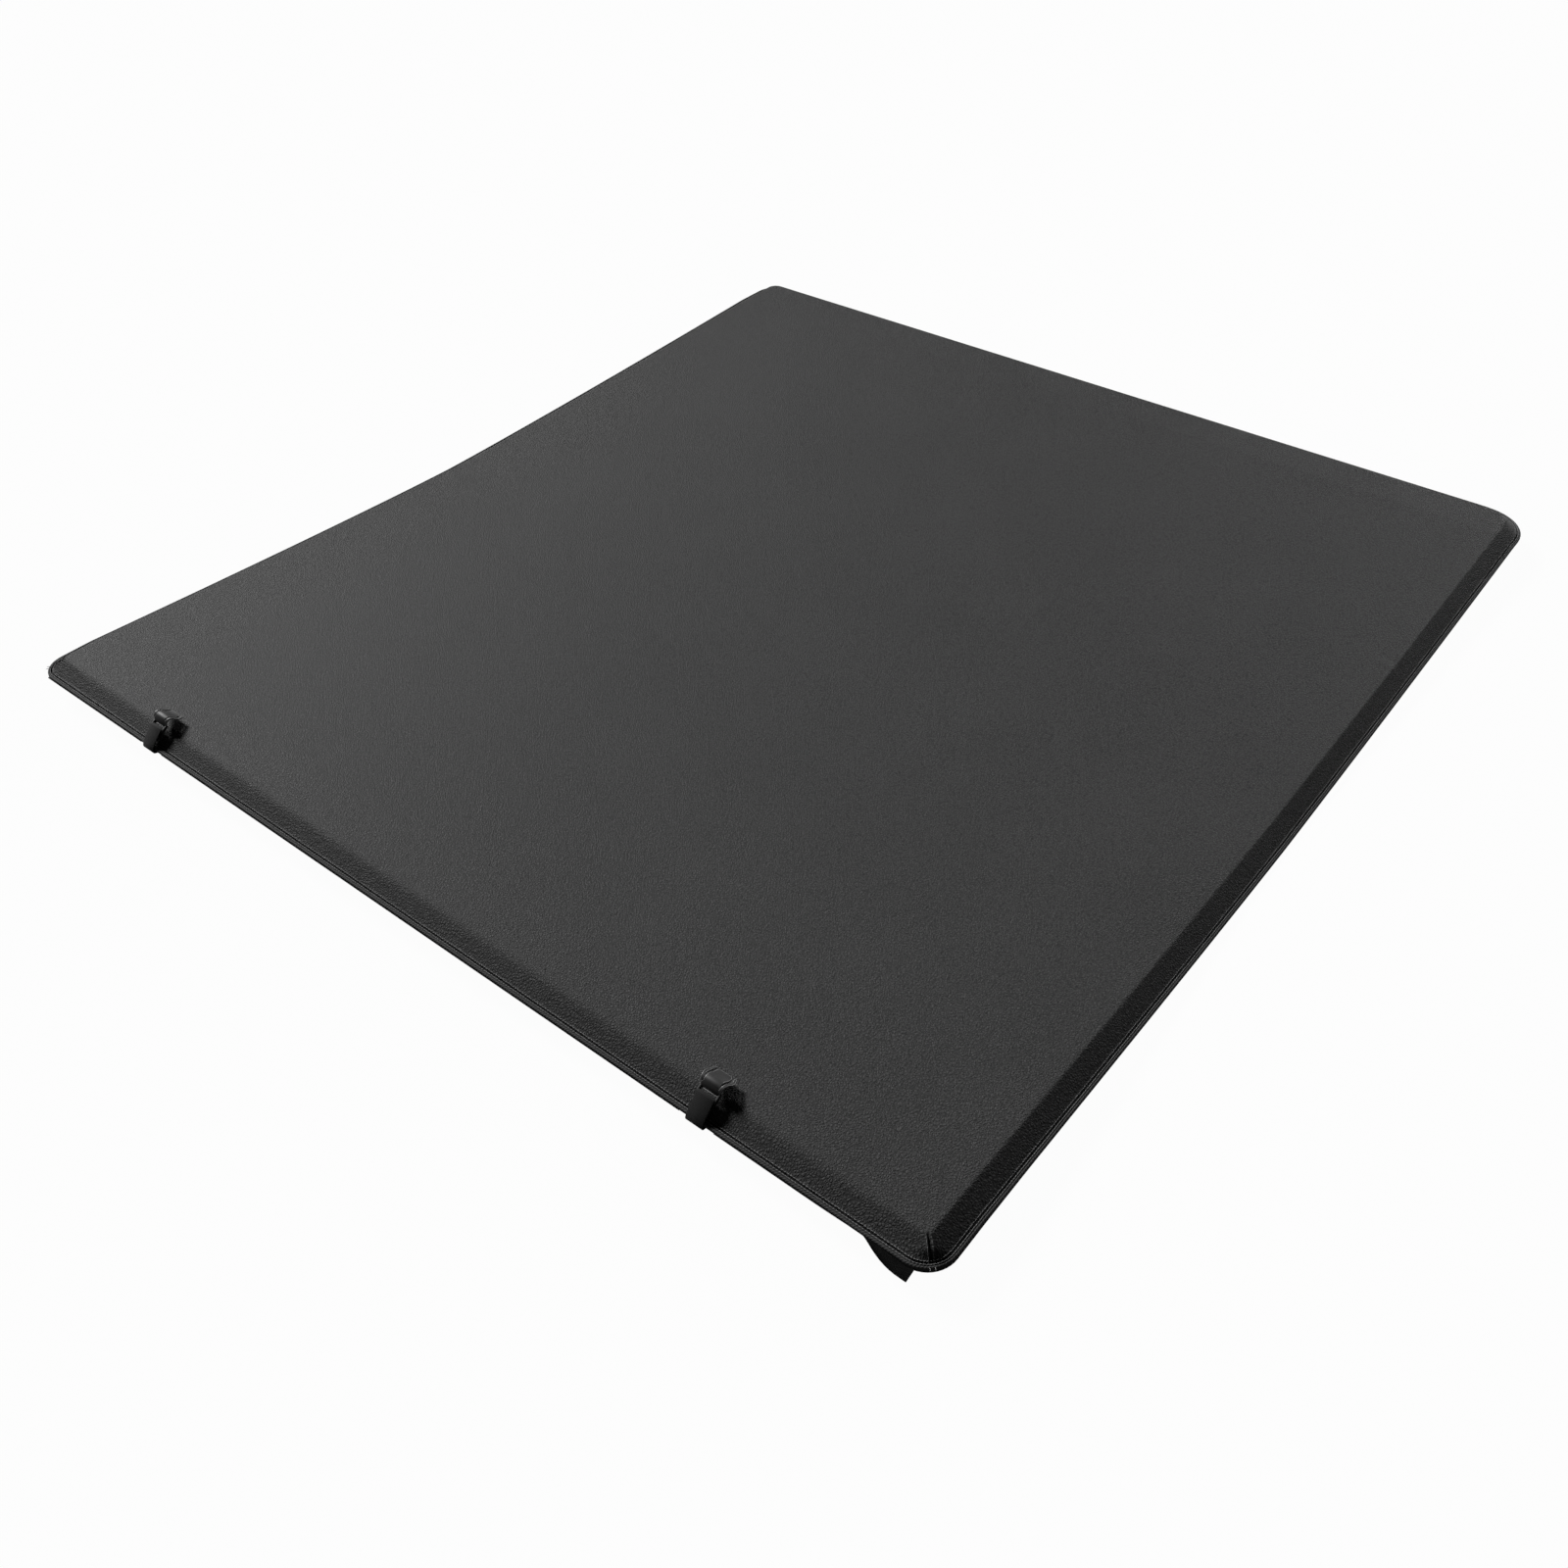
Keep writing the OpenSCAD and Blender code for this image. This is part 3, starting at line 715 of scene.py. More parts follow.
@dataclass(frozen=True)
class Moulded:
    """Moulded, painted, rubber or plated material with a fine surface texture."""

    name: str
    tone: float
    roughness: float
    texture_scale: float
    depth: float
    metallic: float = 0.0
    coat: float = 0.0
    specular: float = 0.5
    spread: float = 0.25

    def build(self) -> bpy.types.Material:
        """Make the material."""
        g = Graph(self.name)
        place = g.place()
        grain = g.noise(place, self.texture_scale, 3.0)
        handling = g.noise(place, 38.0, 4.0)
        colour = g.tone((grain * 0.4 + handling * 0.6).limited(), self.tone * (1 - self.spread),
                        self.tone * (1 + self.spread))
        roughness = (self.roughness + 0.12 * (handling - 0.5) + 0.08 * (grain - 0.5)).limited()
        return g.surface(colour, roughness, g.bump(grain, self.depth),
                         {"Metallic": self.metallic, "Coat Weight": self.coat, "Specular IOR Level": self.specular})


@dataclass(frozen=True)
class Drawn:
    """Mill-finish aluminium with drawing lines along X."""

    name: str = "drawn_aluminium"
    tone: float = 0.55

    def build(self) -> bpy.types.Material:
        """Make the material."""
        g = Graph(self.name)
        place = g.place()
        lines = g.noise(g.stretched(place, (2.5, 900.0, 900.0)), 1.0, 3.0)
        haze = g.noise(g.stretched(place, (9.0, 30.0, 30.0)), 1.0, 3.0)
        colour = g.tone((0.6 * lines + 0.5 * haze - 0.05).limited(), self.tone * 0.75, self.tone * 1.12)
        return g.surface(colour, (0.3 + 0.16 * lines + 0.12 * haze).limited(), g.bump(lines, 0.03 * MM),
                         {"Metallic": 1.0})


@dataclass(frozen=True)
class Thread:
    """Twisted sewing thread."""

    name: str = "sewing_thread"
    tone: float = 0.16

    def build(self) -> bpy.types.Material:
        """Make the material."""
        g = Graph(self.name)
        place = g.place()
        twist = g.noise(g.stretched(place, (1.0, 1.0, 1.6)), 2600.0, 1.0)
        return g.surface(g.tone(twist, self.tone * 0.6, self.tone * 1.4), 0.6 + 0.2 * twist,
                         g.bump(twist, 0.1 * MM), {"Specular IOR Level": 0.4})


class Finish(Enum):
    """Every finish on the cover."""

    VINYL = LeatherGrain()
    BACKING = Scrim()
    BINDING = Ribbed("woven_binding", 0.030, 3.6 * MM, 0.75, contrast=0.7)
    WEBBING = Ribbed("strap_webbing", 0.006, 1.7 * MM, 0.12, 0.22 * MM, 0.4, 0.8)
    SLEEVE = Ribbed("bow_sleeve_cloth", 0.022, 1.1 * MM, 0.0, 0.12 * MM, 0.3, 0.85)
    LOOP = Pile()
    THREAD = Thread()
    # Painted shade: a darker copy of the thread for the row under the hem.
    DARK_THREAD = Thread("dark_sewing_thread", 0.035)
    BAR = Moulded("powder_coat", 0.018, 0.46, 620.0, 0.09 * MM)
    BOW = Drawn()
    PLUG = Moulded("plug_plastic", 0.016, 0.55, 480.0, 0.07 * MM)
    BUCKLE = Moulded("buckle_plastic", 0.016, 0.58, 700.0, 0.05 * MM, specular=0.35)
    # Painted highlight: a light grey for the narrow bevels round the buckle's edges.
    BUCKLE_EDGE = Moulded("worn_buckle_edge", 0.16, 0.45, 900.0, 0.03 * MM)
    # Painted highlight: a light grey for the buckle's front lip.
    BUCKLE_LIP = Moulded("polished_buckle_lip", 0.34, 0.38, 900.0, 0.02 * MM)
    RUBBER = Moulded("seal_rubber", 0.012, 0.68, 300.0, 0.10 * MM, specular=0.35)
    STEEL = Moulded("plated_steel", 0.32, 0.34, 900.0, 0.02 * MM, metallic=1.0)
    PLATE = Moulded("painted_plate", 0.03, 0.4, 700.0, 0.05 * MM, coat=0.2)

    def material(self) -> bpy.types.Material:
        """The finish's material, made once."""
        return bpy.data.materials.get(self.value.name) or self.value.build()


# ---- Soft top ------------------------------------------------------------------------------------------------
def body_name(k: int, count: int) -> str:
    """CAD body k of the roll: the header is 0 and the tail is count + 1."""
    if k == 0:
        return "header"
    return "tail" if k > count else f"fold_{k:02d}"


def node_name(kind: str, k: int, count: int) -> str:
    """CAD node of that kind on body k of the roll."""
    if k == 0:
        return f"header_{kind}"
    return f"tail_{kind}" if k > count else f"{kind}_{k:02d}"


@dataclass(frozen=True)
class ThreadStation:
    """A place on a row of stitches, with the thickness of the thread there."""

    middle: Vector
    across: Vector
    radius: float
    run: float

    def at(self, out: float, up: float) -> Vector:
        """A point of the thread's round section, which is one unit in radius."""
        return self.middle + (self.across * out + Vector((0, 0, up))) * self.radius


@dataclass(frozen=True)
class SeamRow:
    """A row of stitches that follows the hem, as one thread that swells at each stitch."""

    depth: float
    height: float
    radius: float
    slot: int
    pitch: float = 4.0 * MM
    parts: int = 4
    sunk: float = 0.45 * MM

    def station(self, walk: Sequence[Station], i: int, run: float) -> ThreadStation:
        """Place i along the walk, sunk into the cloth between two stitches."""
        swell = math.sin(math.pi * (i % self.parts) / self.parts)
        j = min(len(walk) - 2, max(0, bisect_right(walk, run, key=lambda s: s.run) - 1))
        a, b = walk[j], walk[j + 1]
        share = (run - a.run) / (b.run - a.run)
        height = self.height - self.sunk * (1 - swell)
        middle = a.at(self.depth, height).lerp(b.at(self.depth, height), share)
        across = Vector((a.in_x, a.in_y, 0)).lerp(Vector((b.in_x, b.in_y, 0)), share).normalized()
        return ThreadStation(middle, across, self.radius * (0.3 + 0.7 * swell), run)

    def build(self, walk: Sequence[Station]) -> bmesh.types.BMesh:
        """The row along one walk."""
        length = walk[-1].run
        count = self.parts * round(length / self.pitch)
        stations = [self.station(walk, i, length * i / count) for i in range(count + 1)]
        row = sweep(stations, arc((0, 0), 1, 0, 288, 4))
        for face in row.faces:
            face.material_index = self.slot
        return row


@dataclass
class SoftTop:
    """The vinyl top with its binding, stitches and loop strips, in pieces that each span one fold."""

    cover: Cover
    tuck: float = 1.25 * MM
    bend_half: float = 34 * MM
    rings: tuple[float, ...] = (3, 4.6, 5.0, 5.35, 5.7, 6.0, 6.35, 6.7, 7.1, 7.6, 8.1, 8.6, 9.4, 11, 13.5, 17, 20.5,
                                24, 26.4, 27.5, 28.3, 29, 29.7, 30.6, 32, 34.5)
    column_gap: float = 24 * MM
    pieces: list[bpy.types.Object] = field(default_factory=list)

    @property
    def count(self) -> int:
        """Number of fold panels."""
        return len(self.cover.folds) - 1

    def span(self, k: int) -> Pair:
        """Where piece k starts and stops: from the middle of panel k to the middle of the next."""
        return self.cover.mid(k), self.cover.mid(k + 1)

    def plan(self) -> bmesh.types.BMesh:
        """The whole top as a flat sheet, cut along its rings, columns and rows."""
        c = self.cover
        bm = bmesh.new()
        bmesh.ops.create_grid(bm, x_segments=1, y_segments=1, size=1.0)
        half = (c.half_w - self.tuck, c.half_l - self.tuck)
        bmesh.ops.scale(bm, vec=(*half, 1), verts=bm.verts[:])
        for sx, sy in ((-1, -1), (1, -1), (-1, 1), (1, 1)):
            r = c.corner(sx, sy)[0] - self.tuck
            tip = [v for v in bm.verts if (v.co - Vector((sx * half[0], sy * half[1], 0))).length < 1e-6]
            bmesh.ops.bevel(bm, geom=tip, offset=r, offset_type="OFFSET", segments=12, profile=0.5,
                            affect="VERTICES", material=-1)
        inner, last = bm.faces[:][0], self.tuck
        for ring in self.rings:
            bmesh.ops.inset_individual(bm, faces=[inner], thickness=ring * MM - last, use_even_offset=True)
            last = ring * MM
        self.cut(bm, [(x, 0) for x in self.columns()] + [(y, 1) for y in c.rows(-half[1], half[1])[1:-1]])
        cab_cuts = (18, 21, 24, 26.5, 28, 29, 30, 31.5, 34, 37, 41, 47)
        cab = [f for f in bm.faces if f.calc_center_median().y < -c.half_l + 60 * MM]
        self.cut(bm, [(-c.half_l + d * MM, 1) for d in cab_cuts], cab)
        self.cut_mitres(bm)
        self.cut_pulls(bm)
        bmesh.ops.triangulate(bm, faces=[f for f in bm.faces if len(f.verts) > 4])
        return bm

    def columns(self) -> list[float]:
        """Cuts along the cover, evenly spread between the creases."""
        reach = self.cover.half_w - self.cover.bevel_w - 12 * MM
        count = round(2 * reach / self.column_gap)
        return [-reach + 2 * reach * i / count for i in range(count + 1)]

    @staticmethod
    def cut(bm: bmesh.types.BMesh, planes: Iterable[tuple[float, int]],
            faces: Sequence[bmesh.types.BMFace] | None = None) -> None:
        """Cut faces at places along X (axis 0) or Y (axis 1); all faces if none are given."""
        live = list(faces) if faces is not None else None
        for place, axis in planes:
            normal = Vector((1 - axis, axis, 0))
            picked = bm.faces[:] if live is None else live
            edges = {e for f in picked for e in f.edges}
            verts = {v for e in edges for v in e.verts}
            done = bmesh.ops.bisect_plane(bm, geom=[*verts, *edges, *picked], dist=1e-6,
                                          plane_co=normal * place, plane_no=normal)
            if live is not None:
                live = [g for g in done["geom"] if isinstance(g, bmesh.types.BMFace)]

    def cut_mitres(self, bm: bmesh.types.BMesh) -> None:
        """Cut the cab corners along the mitre seam and the straight creases that meet there."""
        c = self.cover
        for side in (-1, 1):
            tip = Vector((side * c.half_w, -c.half_l, 0))
            live = [f for f in bm.faces if (f.calc_center_median() - tip).length < 62 * MM]
            normal = Vector((side, 1, 0)).normalized()
            for off in (-3.6, -2.8, -2.0, -1.4, -0.9, -0.45, 0, 0.45, 0.9, 1.4, 2.0, 2.8, 3.6):
                live = self.cut_near(bm, live, tip + normal * off * MM, normal)
            for d in (26.5, 27.6, 28.4, 29, 29.6, 30.4, 31.6):
                live = self.cut_near(bm, live, Vector((side * (c.half_w - d * MM), 0, 0)), Vector((1, 0, 0)))

    def cut_pulls(self, bm: bmesh.types.BMesh) -> None:
        """Cut finer rows where the pull wrinkles cross the right-hand crease."""
        low, high = 0.31, 0.39
        live = [f for f in bm.faces if low < f.calc_center_median().y < high
                and f.calc_center_median().x > self.cover.half_w - 85 * MM]
        for i in range(26):
            live = self.cut_near(bm, live, Vector((0, low + 3 * MM * i, 0)), Vector((0, 1, 0)))
        for i in range(5):
            place = Vector((self.cover.half_w - (40 + 7 * i) * MM, 0, 0))
            live = self.cut_near(bm, live, place, Vector((1, 0, 0)))

    @staticmethod
    def cut_near(bm: bmesh.types.BMesh, live: list[bmesh.types.BMFace], place: Vector,
                 normal: Vector) -> list[bmesh.types.BMFace]:
        """Cut only the live faces with one plane and return the faces that they became."""
        edges = {e for f in live for e in f.edges}
        verts = {v for e in edges for v in e.verts}
        done = bmesh.ops.bisect_plane(bm, geom=[*verts, *edges, *live], dist=1e-6, plane_co=place, plane_no=normal)
        return [g for g in done["geom"] if isinstance(g, bmesh.types.BMFace)]

    def shade(self, x: float, y: float) -> float:
        """Painted shade on the top at (x, y): the groove beside the binding and the mitre seam are darkened."""
        c = self.cover
        d = c.edge_depth(x, y)
        groove = hump(d, c.groove_in - 0.1 * MM, 1.5 * MM)
        if y > 0:
            return groove
        across = ((c.half_w - abs(x)) - (c.half_l + y)) / math.sqrt(2)
        along = min(c.half_w - abs(x), c.half_l + y)
        hold = ease(along, 6 * MM, 8 * MM) * (1 - ease(along, 30 * MM, 33 * MM))
        return max(groove, hold * hump(across, 0, 1.9 * MM))

    def skin(self, plan: bmesh.types.BMesh, k: int) -> bpy.types.Object:
        """One piece of the vinyl top, cut from the plan and bent to its surface."""
        bm = plan.copy()
        low, high = self.span(k)
        for place, outside in ((low, -1), (high, 1)):
            if abs(place) < self.cover.half_l - 1 * MM:
                bmesh.ops.bisect_plane(bm, geom=bm.verts[:] + bm.edges[:] + bm.faces[:], dist=1e-6,
                                       plane_co=(0, place, 0), plane_no=(0, outside, 0), clear_outer=True)
        lay = bm.verts.layers.float_vector.new("lay")
        dark = bm.verts.layers.float.new("shade")
        for v in bm.verts:
            v[lay] = (v.co.x, v.co.y, 0)
            v[dark] = self.shade(v.co.x, v.co.y)
            v.co.z = self.cover.top(v.co.x, v.co.y)
        bm.normal_update()
        made = bmesh.ops.solidify(bm, geom=bm.faces[:], thickness=self.cover.skin_t)
        for item in made["geom"]:
            if isinstance(item, bmesh.types.BMFace):
                item.material_index = 1
        return finish_mesh(bm, f"vinyl_top_{k:02d}", [Finish.VINYL.material(), Finish.BACKING.material()],
                           recalculate=False)

    def walks(self, k: int) -> list[list[Station]]:
        """The stretches of the hem that belong to piece k."""
        low, high = self.span(k)
        if k == 0:
            return [end_walk(self.cover, -1, high)]
        if k == self.count:
            return [end_walk(self.cover, 1, low)]
        return [side_walk(self.cover, side, low, high) for side in (-1, 1)]

    def tape_section(self) -> list[Pair]:
        """Section of the binding folded round the hem, from its inner edge over the top and back below."""
        top = [(5.0, 1.5), (5.05, 2.3), (4.75, 2.75), (4.1, 2.8), (3.3, 2.4), (2.9, 2.0), (2.5, 2.4), (1.7, 2.5),
               (0.8, 1.9), (0.3, 1.2)]
        lip = [(0.1, 0.6), (0.2, 0.1), (0.8, -0.3), (0.3, -0.65), (0.02, -1.1), (0.12, -1.6), (0.6, -2.0)]
        below = [(1.6, -2.15), (4.5, -1.6), (8.0, -0.95), (8.35, -0.6), (8.3, -0.05)]
        inner = [(1.3, -0.05), (1.3, 1.7)]
        return scaled(top + lip + below + inner)

    def binding(self, k: int) -> bpy.types.Object:
        """The binding of piece k."""
        section = self.tape_section()
        # Painted shade on the binding, by section corner: its inner edge, the dip of its stitch row, its outer roll and
        # its underside are darkened.
        folds = {0: 0.9, 4: 0.3, 5: 1.0, 6: 0.3, 9: 0.3, 10: 0.7, 11: 0.95, 12: 1.0, 13: 0.95, 14: 0.5, 15: 0.35,
                 16: 0.6, 17: 0.8}
        parts = [sweep(walk, section, lambda j: folds.get(j, 0.0)) for walk in self.walks(k)]
        return finish_mesh(joined(parts), f"hem_binding_{k:02d}", [Finish.BINDING.material()], 50)

    def loop_strip(self, k: int) -> bpy.types.Object:
        """The loop fastener strips under both side borders of piece k."""
        c = self.cover
        low, high = self.span(k)
        low = max(low, -c.half_l + c.cab_corner_r + 9 * MM)
        limits = {-1: min(high, c.half_l - c.tail_left_r), 1: min(high, c.half_l - c.tail_right_r)}
        gap, thickness, inner, outer = 2.05 * MM, 2.0 * MM, 26.3 * MM, 12.4 * MM
        steps = 5
        places = [outer + (inner - outer) * i / steps for i in range(steps + 1)]
        upper = [(d, c.border(d, c.side_softness) - gap) for d in places]
        lower = [(d, h - thickness * (1 if 0 < i < steps else 0.7)) for i, (d, h) in enumerate(upper)]
        section = upper + lower[::-1]
        parts = [sweep(side_walk(c, side, low, limits[side]), section) for side in (-1, 1)]
        return finish_mesh(joined(parts), f"loop_strip_{k:02d}", [Finish.LOOP.material()])

    def stitches(self, k: int) -> bpy.types.Object:
        """Rows of stitches on piece k: beside the binding, on it and under it."""
        c = self.cover
        beside = SeamRow(c.ridge_in, c.border(c.ridge_in, c.side_softness) + 0.15 * MM, 0.5 * MM, 0)
        on_tape = SeamRow(4.2 * MM, 2.95 * MM, 0.42 * MM, 0)
        # The row under the hem uses the darker copy of the thread: painted shade.
        below = SeamRow(4.2 * MM, -1.75 * MM, 0.36 * MM, 1)
        parts = [row.build(walk) for walk in self.walks(k) for row in (beside, on_tape, below)]
        if k == 0:
            parts += [self.mitre_row(side, lip) for side in (-1, 1) for lip in (-1, 1)]
        return finish_mesh(joined(parts), f"hem_stitches_{k:02d}",
                           [Finish.THREAD.material(), Finish.DARK_THREAD.material()], 80)

    def mitre_row(self, side: int, lip: int) -> bmesh.types.BMesh:
        """Thread along one lip of the mitre seam at one cab corner."""
        c = self.cover
        off, first, last, steps = 2.6 * MM, 9.0 * MM, 29.5 * MM, 22
        stations = []
        for i in range(steps + 1):
            t = first + (last - first) * i / steps
            x = side * (c.half_w - t - lip * off / math.sqrt(2))
            y = -c.half_l + t - lip * off / math.sqrt(2)
            swell = math.sin(math.pi * (i % 4) / 4) if 0 < i < steps else 0.0
            middle = Vector((x, y, c.top(x, y) + 0.1 * MM - 0.3 * MM * (1 - swell)))
            across = Vector((side, 1, 0)).normalized()
            stations.append(ThreadStation(middle, across, 0.42 * MM * (0.4 + 0.6 * swell), t))
        return sweep(stations, arc((0, 0), 1, 0, 288, 4))

    def flat_size(self, k: int) -> tuple[Pair, float]:
        """Flat width and length of the vinyl of piece k, with its corners' loss of area."""
        c = self.cover
        low, high = self.span(k)
        slope = math.hypot(c.bevel_w - c.flange_w, c.bevel_h - c.flange_h) - (c.bevel_w - c.flange_w)
        width = 2 * (c.half_w - self.tuck + slope)
        ends = (k == 0) + (k == self.count)
        length = high - low + ends * (slope - self.tuck)
        radii = {0: (c.cab_corner_r, c.cab_corner_r), self.count: (c.tail_left_r, c.tail_right_r)}.get(k, ())
        return (width, length), width * length - sum((1 - math.pi / 4) * r * r for r in radii)

    def build(self) -> None:
        plan = self.plan()
        for k in range(self.count + 1):
            sheet = self.skin(plan, k)
            trims = {"binding": self.binding(k), "loop": self.loop_strip(k)}
            stitches = self.stitches(k)
            fold = self.cover.folds[k]
            z = self.cover.flat_z - self.cover.droop(fold)
            ends = [k] if k < self.count else [k, k + 1]
            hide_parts(*(node_name("skin", e, self.count) for e in ends))
            for kind, trim in trims.items():
                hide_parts(*(node_name(kind, e, self.count) for e in ends))
            for piece in (sheet, *trims.values(), stitches):
                body_name(k, self.count)
                body_name(k + 1, self.count)
                fold - self.bend_half
                fold + self.bend_half
                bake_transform(piece)
            flat, area = self.flat_size(k)
            self.pieces += [sheet, *trims.values(), stitches]
            LOG.info("soft top %d: flat %.3f x %.3f m, %d faces", k, *flat, len(sheet.data.polygons))
        plan.free()


# ---- Bow sleeves and cab flaps -----------------------------------------------------------------------------------
@dataclass
class BowSleeves:
    """Cloth sleeves that hold the bows under the top."""

    cover: Cover
    panels: tuple[int, ...] = (1, 3, 5, 7)
    cloth_t: float = 0.9 * MM
    half_length: float = 700 * MM
    bow_h: float = 17 * MM
    bow_w: float = 30 * MM
    bow_gap: float = 0.3 * MM
    flange_w: float = 10 * MM

    def line(self) -> list[Pair]:
        """Middle line of the sleeve round the lower side of a bow, from its centre."""
        flat, r = (self.bow_w - self.bow_h) / 2, self.bow_h / 2 + 0.35 * MM + self.cloth_t / 2
        high = self.bow_h / 2 + self.bow_gap - self.cloth_t / 2 - 0.05 * MM
        side = [(flat + r + 1.5 * MM + self.flange_w, high), (flat + r + 1.5 * MM, high),
                (flat + r + 0.3 * MM, high - 1.2 * MM), (flat + r * 1.02, high * 0.45)]
        lower = arc((flat, 0), r, 0, -90, 6)
        half = side + lower
        return half + [(-a, b) for a, b in half[::-1]]

    def build(self) -> None:
        """Make and place the sleeves."""
        c = self.cover
        section = ribbon(self.line(), self.cloth_t)
        for k in self.panels:
            y = c.mid(k)
            tilt = math.atan((c.droop(y - MM) - c.droop(y + MM)) / (2 * MM))
            z = c.flat_z - c.skin_t - c.droop(y) - self.bow_h / 2 - self.bow_gap
            steps = 56
            places = [self.half_length * (2 * i / steps - 1) for i in range(steps + 1)]
            stations = [SleeveStation(x, y, z, tilt, x + self.half_length) for x in places]
            piece = finish_mesh(sweep(stations, section), f"bow_sleeve_{k:02d}", [Finish.SLEEVE.material()], 60)
            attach(piece, f"fold_{k:02d}")
            girth = sum(math.dist(a, b) for a, b in zip(self.line(), self.line()[1:]))
            2 * self.half_length
            LOG.info("bow sleeve %d: flat %.3f x %.3f m", k, girth, 2 * self.half_length)


@dataclass(frozen=True)
class SleeveStation:
    """A place along a bow, tilted with the top above it."""

    x: float
    y: float
    z: float
    tilt: float
    run: float

    def at(self, across: float, up: float) -> Vector:
        """A point of the sleeve's section, slackened a little below the bow."""
        slack = 0.22 * MM * noise.noise(Vector((self.x * 28, across * 60, 1.3)))
        up -= (slack + 0.1 * MM) * ease(-up, 0, 6 * MM)
        c, s = math.cos(self.tilt), math.sin(self.tilt)
        return Vector((self.x, self.y + across * c - up * s, self.z + across * s + up * c))


@dataclass(frozen=True)
class FlapStation:
    """A place along a cab flap, where it lies flat under the hem or has turned down."""

    x: float
    y: float
    z: float
    turn: float
    shear: float
    run: float

    def at(self, out: float, up: float) -> Vector:
        """A point out from the seam and up from the flap's lower face."""
        c, s = math.cos(self.turn), math.sin(self.turn)
        return Vector((self.x - self.shear * out, self.y + out * c + up * s, self.z - out * s + up * c))


@dataclass
class CabFlaps:
    """Skirt flaps sewn under the cab hem, in three lengths between the straps."""

    cover: Cover
    straps: tuple[float, float]
    width: float = 25.7 * MM
    thickness: float = 1.4 * MM
    overlap: float = 1.2 * MM
    seam_in: float = 1.5 * MM
    seam_down: float = 3.5 * MM
    end_in: float = 26 * MM
    strap_gap: float = 24 * MM
    hang: float = 141 * MM
    upright: float = 0.92
    last_turn_deg: float = 97.0
    slant: float = 6.5 * MM

    def flap(self, x0: float, x1: float, hang: float) -> bmesh.types.BMesh:
        """One length of flap; its last part, hang long, turns down to upright."""
        steps = max(12, round((x1 - x0) / (7 * MM)))
        y, z = -self.cover.half_l + self.seam_in, self.cover.hem_z - self.seam_down
        stations = []
        for i in range(steps + 1):
            x = x0 + (x1 - x0) * i / steps
            share = ease(x, x1 - hang, x1 - (1 - self.upright) * hang) if hang else 0.0
            turn = math.radians(self.last_turn_deg) * share
            shear = self.slant / self.width * (i / steps if hang else 0.0)
            stations.append(FlapStation(x, y, z, turn, shear, x - x0))
        w, t, r = self.width, self.thickness, 0.5 * MM
        section = [(-self.overlap, 0), (w * 0.3, 0), (w * 0.7, 0), (w - r, 0), (w, r), (w, t - r), (w - r, t),
                   (w * 0.7, t), (w * 0.3, t), (-self.overlap, t)]
        return sweep(stations, section)

    def build(self) -> None:
        """Make the three lengths as three pieces in place of their one CAD node."""
        left, right = self.straps
        limit = self.cover.half_w - self.end_in
        spans = ((-limit, left - self.strap_gap, 0), (left + self.strap_gap, right - self.strap_gap, 0),
                 (right + self.strap_gap, limit, self.hang))
        for i, span in enumerate(spans):
            piece = finish_mesh(self.flap(*span), f"cab_flap_{i + 1}", [Finish.VINYL.material()], 35)
            if i == 0:
                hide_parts("cab_flaps")
            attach(piece, "header")
            span[1] - span[0]
            LOG.info("cab flap %d: %.3f m long", i + 1, span[1] - span[0])


